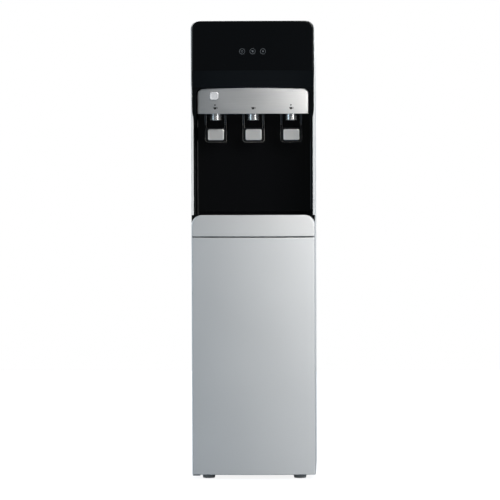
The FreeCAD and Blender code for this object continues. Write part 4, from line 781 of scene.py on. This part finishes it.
def grille_piece():
    """Frame of the drip grille, with round-topped bars from front to rear."""
    low, high = corner_box("drip_grille")
    border, pitch, bar, radius, front_radius, edge_ease = 9.0, 10.0, 5.0, 2.8, 0.5, 0.4
    bar_wall, crown = 1.7, 1.2
    reach = (int((high[0] - border - bar / 2) / pitch) + 0.25) * pitch
    y0, y1 = low[1] + border, high[1] - border
    rings = []
    for z, d in eased(low[2], high[2], edge_ease, 2):
        radii = (front_radius, front_radius, radius, radius)
        loop = round_rect(low[0] + d, high[0] - d, low[1] + d, high[1] - d, radii, z)
        rings.append([(x, y, z) for x, _, y in loop])
    hole = [[(-reach, y0, z), (reach, y0, z), (reach, y1, z), (-reach, y1, z)]
            for z in (low[2] - 1, high[2] + 1)]
    frame_mesh = carve(loft(rings), loft(hole))
    section = [(-bar / 2, 0.0), (bar / 2, 0.0), (bar / 2, bar_wall)]
    section += [(bar / 2 * math.cos(a), bar_wall + crown * math.sin(a)) for a in arc(15, 165, 8)]
    section.append((-bar / 2, bar_wall))
    item = loft([[(x, y, z) for x, z in section] for y in (y0, y1)])
    count = 2 * int(reach / pitch)
    start = Vector((-(count - 1) / 2 * pitch, 0.0, low[2])) * MM
    bars = grown(ROW, item, "tray_black", Count=count, Start=start, Step=(pitch * MM, 0.0, 0.0))
    place("grille_bars", joined(frame_mesh, bars), "tray_black", "grille", "drip_grille")


def screw_pieces():
    """Round-headed cross-slot screws down both rear flanges."""
    low, high = corner_box("panel_screws")
    head, rim, rise, rows, end = 4.0, 0.5, high[1] - low[1], 5, 3.5
    slot_reach, slot_half, slot_depth = 2.2, 0.45, 0.9
    dome = [(HAIR, 0.0), (head, 0.0), (head, rim)]
    dome += [(head * math.cos(a), rim + (rise - rim) * math.sin(a)) for a in arc(12, 84, 6)] + [(HAIR, rise)]
    button = [[(x, low[1] + z, -y) for x, y, z in ring] for ring in turned(dome, 0.0, 0.0, 20)]
    slots = []
    for wide, tall in ((slot_reach, slot_half), (slot_half, slot_reach)):
        slots.append(loft([[(-wide, y, -tall), (wide, y, -tall), (wide, y, tall), (-wide, y, tall)]
                           for y in (high[1] - slot_depth, high[1] + 1)]))
    item = carve(loft(button, closed=True), *slots)
    first, last = low[2] + end, high[2] - end
    step = (0.0, 0.0, (last - first) / (rows - 1) * MM)
    columns = [grown(ROW, item, "hinge_steel", Count=rows, Start=Vector((x, 0.0, first)) * MM, Step=step)
               for x in (low[0] + head, high[0] - head)]
    place("cross_screws", joined(*columns), "hinge_steel", "root", "panel_screws")


def coil_piece(node, axis):
    """A wound spring in a node's place, upright or lying from front to rear."""
    low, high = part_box(node)
    length = high[axis] - low[axis]
    wire = length * (UPRIGHT_WIRE if axis == 2 else LYING_WIRE)
    foot = [(a + b) / 2 for a, b in zip(low, high)]
    foot[axis] = low[axis] + wire
    turn = (0.0, 0.0, 0.0) if axis == 2 else (-math.pi / 2, 0.0, 0.0)
    coil = grown(COIL, bpy.data.meshes.new("blank"), "spring_steel", Place=foot, Turn=turn,
                 Radius=(high[0] - low[0]) / 2 - wire, Wire=wire, Length=length - 2 * wire, Rounds=COIL_ROUNDS)
    return place(node + "_coil", coil, "spring_steel", "root", node, angle=60.0)


def flexing_pieces():
    """Wound springs and the short hose, made in place of the nodes that the joints list as deforming."""
    for joint in frame["joints"]:
        for entry in joint.get("deforming_nodes", ()):
            node = entry["node"]
            letter = entry["mode"][-1]
            axis = "xyz".index(letter)
            low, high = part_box(node)
            anchor = [(a + b) / 2 for a, b in zip(low, high)]
            anchor[axis] = entry["fixed_end_" + letter + "_m"]
            if node.endswith("hose"):
                piece = soften(node, "hose_silicone", "root", 0.2, 1)
            else:
                piece = coil_piece(node, axis)
            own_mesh(piece)


# ================================================================ the pieces
SOFTENED = (                  # CAD node, material slot, body, and width of the eased edge
    ("side_panel_left", "case_sheet", "root", 0.5),
    ("side_panel_right", "case_sheet", "root", 0.5),
    ("top_cover", "case_sheet", "root", 1.0),
    ("lever_left", "lever_black", "lever_left", 1.0),
    ("lever_middle", "lever_black", "lever_middle", 1.0),
    ("lever_right", "lever_black", "lever_right", 1.0),
    ("drip_tray", "tray_black", "tray", 0.5),
    ("niche_liner", "niche_black", "root", 0.4),
    ("tray_bed", "niche_black", "root", 0.4),
    ("feet", "foot_rubber", "root", 0.8),
    ("switch_plate", "gland_black", "root", 0.4),
    ("hot_switch", "switch_red", "switch_hot", 0.4),
    ("cold_switch", "switch_blue", "switch_cold", 0.4),
    ("cord_gland", "gland_black", "root", 0.4),
    ("drain_plug", "gland_black", "plug", 0.4),
    ("hinge_plates", "hinge_steel", "root", 0.3),
    ("door_magnet", "magnet_rubber", "root", 0.5),
    ("base_pan", "base_mould", "root", 0.4),
)
door_piece()
fascia_piece()
grille_piece()
screw_pieces()
flexing_pieces()
head_piece()
shroud_piece()
tap_pieces()
for node, slot_name, body, width in SOFTENED:
    soften(node, slot_name, body, width)


# ================================================================ stage, lights, camera
FLOOR_HALF = 3.0
FLOOR_COLOUR = (0.17, 0.21, 0.25)
FLOOR_GLOW = 0.90             # what the camera sees beside the light on the floor
KEY_SPREAD = 84.0             # degrees
ROOM_TINT = (0.86, 0.94, 1.0)
ROOM_SOFT = 0.35              # light from the room all round
ROOM_DIM = 0.10               # dark part of the room in front, as the gloss sees it
DARK_SIDE = (0.0, -1.0, 0.0)
DARK_REACH = (-0.5, 0.2)      # from the bright part of the room to the dim part
MIDDLE = (0.0, 0.0, 0.6)
LAMPS = (                     # name, place, target, width, height, watts, colour, spread in degrees
    ("key", (1.75, -2.9, 2.3), (0.0, -0.1, 1.12), 2.2, 1.9, 34.0, (1.0, 0.97, 0.93), KEY_SPREAD),
    ("fill", (-3.0, -2.2, 1.1), (0.0, 0.0, 0.5), 1.4, 1.6, 12.5, (0.68, 0.87, 1.0), 180.0),
    ("strip", (2.4, -2.6, 1.0), (0.0, -0.1, 0.9), 0.22, 1.3, 12.0, WHITE, 180.0),
    ("top", (0.2, 0.5, 3.2), MIDDLE, 2.4, 2.0, 15.0, WHITE, 180.0),
    ("side", (-3.0, 1.2, 1.4), MIDDLE, 1.8, 1.6, 22.0, WHITE, 180.0),
    ("back", (0.0, 3.0, 1.8), MIDDLE, 2.4, 1.6, 40.0, WHITE, 180.0),
)


def aimed(stand, target):
    """Turn of a lamp that stands in one place and points at another."""
    return (Vector(target) - Vector(stand)).to_track_quat("-Z", "Y").to_euler()


def area_light(name, stand, target, width, height, watts, colour, spread):
    """A rectangular lamp on the stage."""
    data = bpy.data.lights.new(name, "AREA")
    data.shape = "RECTANGLE"
    data.size = width
    data.size_y = height
    data.energy = watts
    data.color = colour
    data.spread = math.radians(spread)
    made = linked(name, data)
    made.location = stand
    made.rotation_euler = aimed(stand, target)


def floor_piece():
    """A white-seeming floor that keeps the object's shadow: its glow is for the camera alone."""
    half = FLOOR_HALF
    mesh = bpy.data.meshes.new("floor")
    mesh.from_pydata([(-half, -half, 0), (half, -half, 0), (half, half, 0), (-half, half, 0)], [], [(0, 1, 2, 3)])
    made = material("floor", FLOOR_COLOUR, 0.9, patch=0.01, grain=0.0, bump=0.0)
    mesh.materials.append(made)
    tree = made.node_tree
    rays = add(tree, "ShaderNodeLightPath").outputs
    glow = add(tree, "ShaderNodeEmission", [("Color", (*WHITE, 1.0)), ("Strength", FLOOR_GLOW)]).outputs[0]
    seen = add(tree, "ShaderNodeMixShader", [(0, rays["Is Camera Ray"]), (2, glow)]).outputs[0]
    paper = tree.nodes["Principled BSDF"].outputs[0]
    total = add(tree, "ShaderNodeAddShader", [(0, paper), (1, seen)]).outputs[0]
    tree.links.new(total, tree.nodes["Material Output"].inputs["Surface"])
    linked("floor", mesh)


def room_light():
    """White to the camera and through glass. Gloss sees it white behind and beside, and dim in front."""
    world = bpy.data.worlds.new("world")
    scene.world = world
    world.use_nodes = True
    tree = world.node_tree
    tree.nodes.clear()
    rays = add(tree, "ShaderNodeLightPath").outputs
    way = add(tree, "ShaderNodeTexCoord").outputs["Generated"]
    links = [(0, way), (1, DARK_SIDE)]
    front = add(tree, "ShaderNodeVectorMath", links, operation="DOT_PRODUCT").outputs["Value"]
    links = [("Value", front), ("From Min", DARK_REACH[0]), ("From Max", DARK_REACH[1]), ("To Min", 1.0),
             ("To Max", ROOM_DIM)]
    reflected = add(tree, "ShaderNodeMapRange", links).outputs["Result"]
    gloss = maths(tree, "MULTIPLY", rays["Is Glossy Ray"], reflected)
    soft = maths(tree, "MULTIPLY", maths(tree, "SUBTRACT", 1.0, rays["Is Glossy Ray"]), ROOM_SOFT)
    seen = maths(tree, "MAXIMUM", rays["Is Camera Ray"], rays["Is Transmission Ray"])
    level = maths(tree, "MAXIMUM", maths(tree, "ADD", gloss, soft), seen)
    links = [(0, seen), (6, (*ROOM_TINT, 1.0)), (7, (*WHITE, 1.0))]
    tint = add(tree, "ShaderNodeMix", links, data_type="RGBA").outputs[2]
    white = add(tree, "ShaderNodeBackground", [("Color", tint), ("Strength", level)])
    add(tree, "ShaderNodeOutputWorld", [("Surface", white.outputs[0])])


floor_piece()
for lamp in LAMPS:
    area_light(*lamp)
room_light()
scene.view_settings.view_transform = "Standard"
scene.view_settings.look = "None"

PIXEL = 2.503 * MM            # width of one pixel of the photo at the door
PICTURE = 500                 # pixels across
DISTANCE = 9.0
AZIMUTH, ELEVATION, ROLL = math.radians(1.5), math.radians(3.0), math.radians(-0.2)
TARGET = Vector((-0.0083, -0.17, 0.5775))
SENSOR = 36.0

camera_data = bpy.data.cameras.new("camera")
camera = linked("camera", camera_data)
scene.camera = camera
level_out = math.cos(ELEVATION)
away = Vector((math.sin(AZIMUTH) * level_out, -math.cos(AZIMUTH) * level_out, math.sin(ELEVATION)))
camera.location = TARGET + away * DISTANCE
turn = (-away).to_track_quat("-Z", "Y").to_matrix() @ Matrix.Rotation(ROLL, 3, "Z")
camera.rotation_euler = turn.to_euler()
camera_data.sensor_width = SENSOR
camera_data.lens = SENSOR * DISTANCE / (PICTURE * PIXEL)
camera_data.clip_end = 100.0
camera_data.dof.use_dof = False
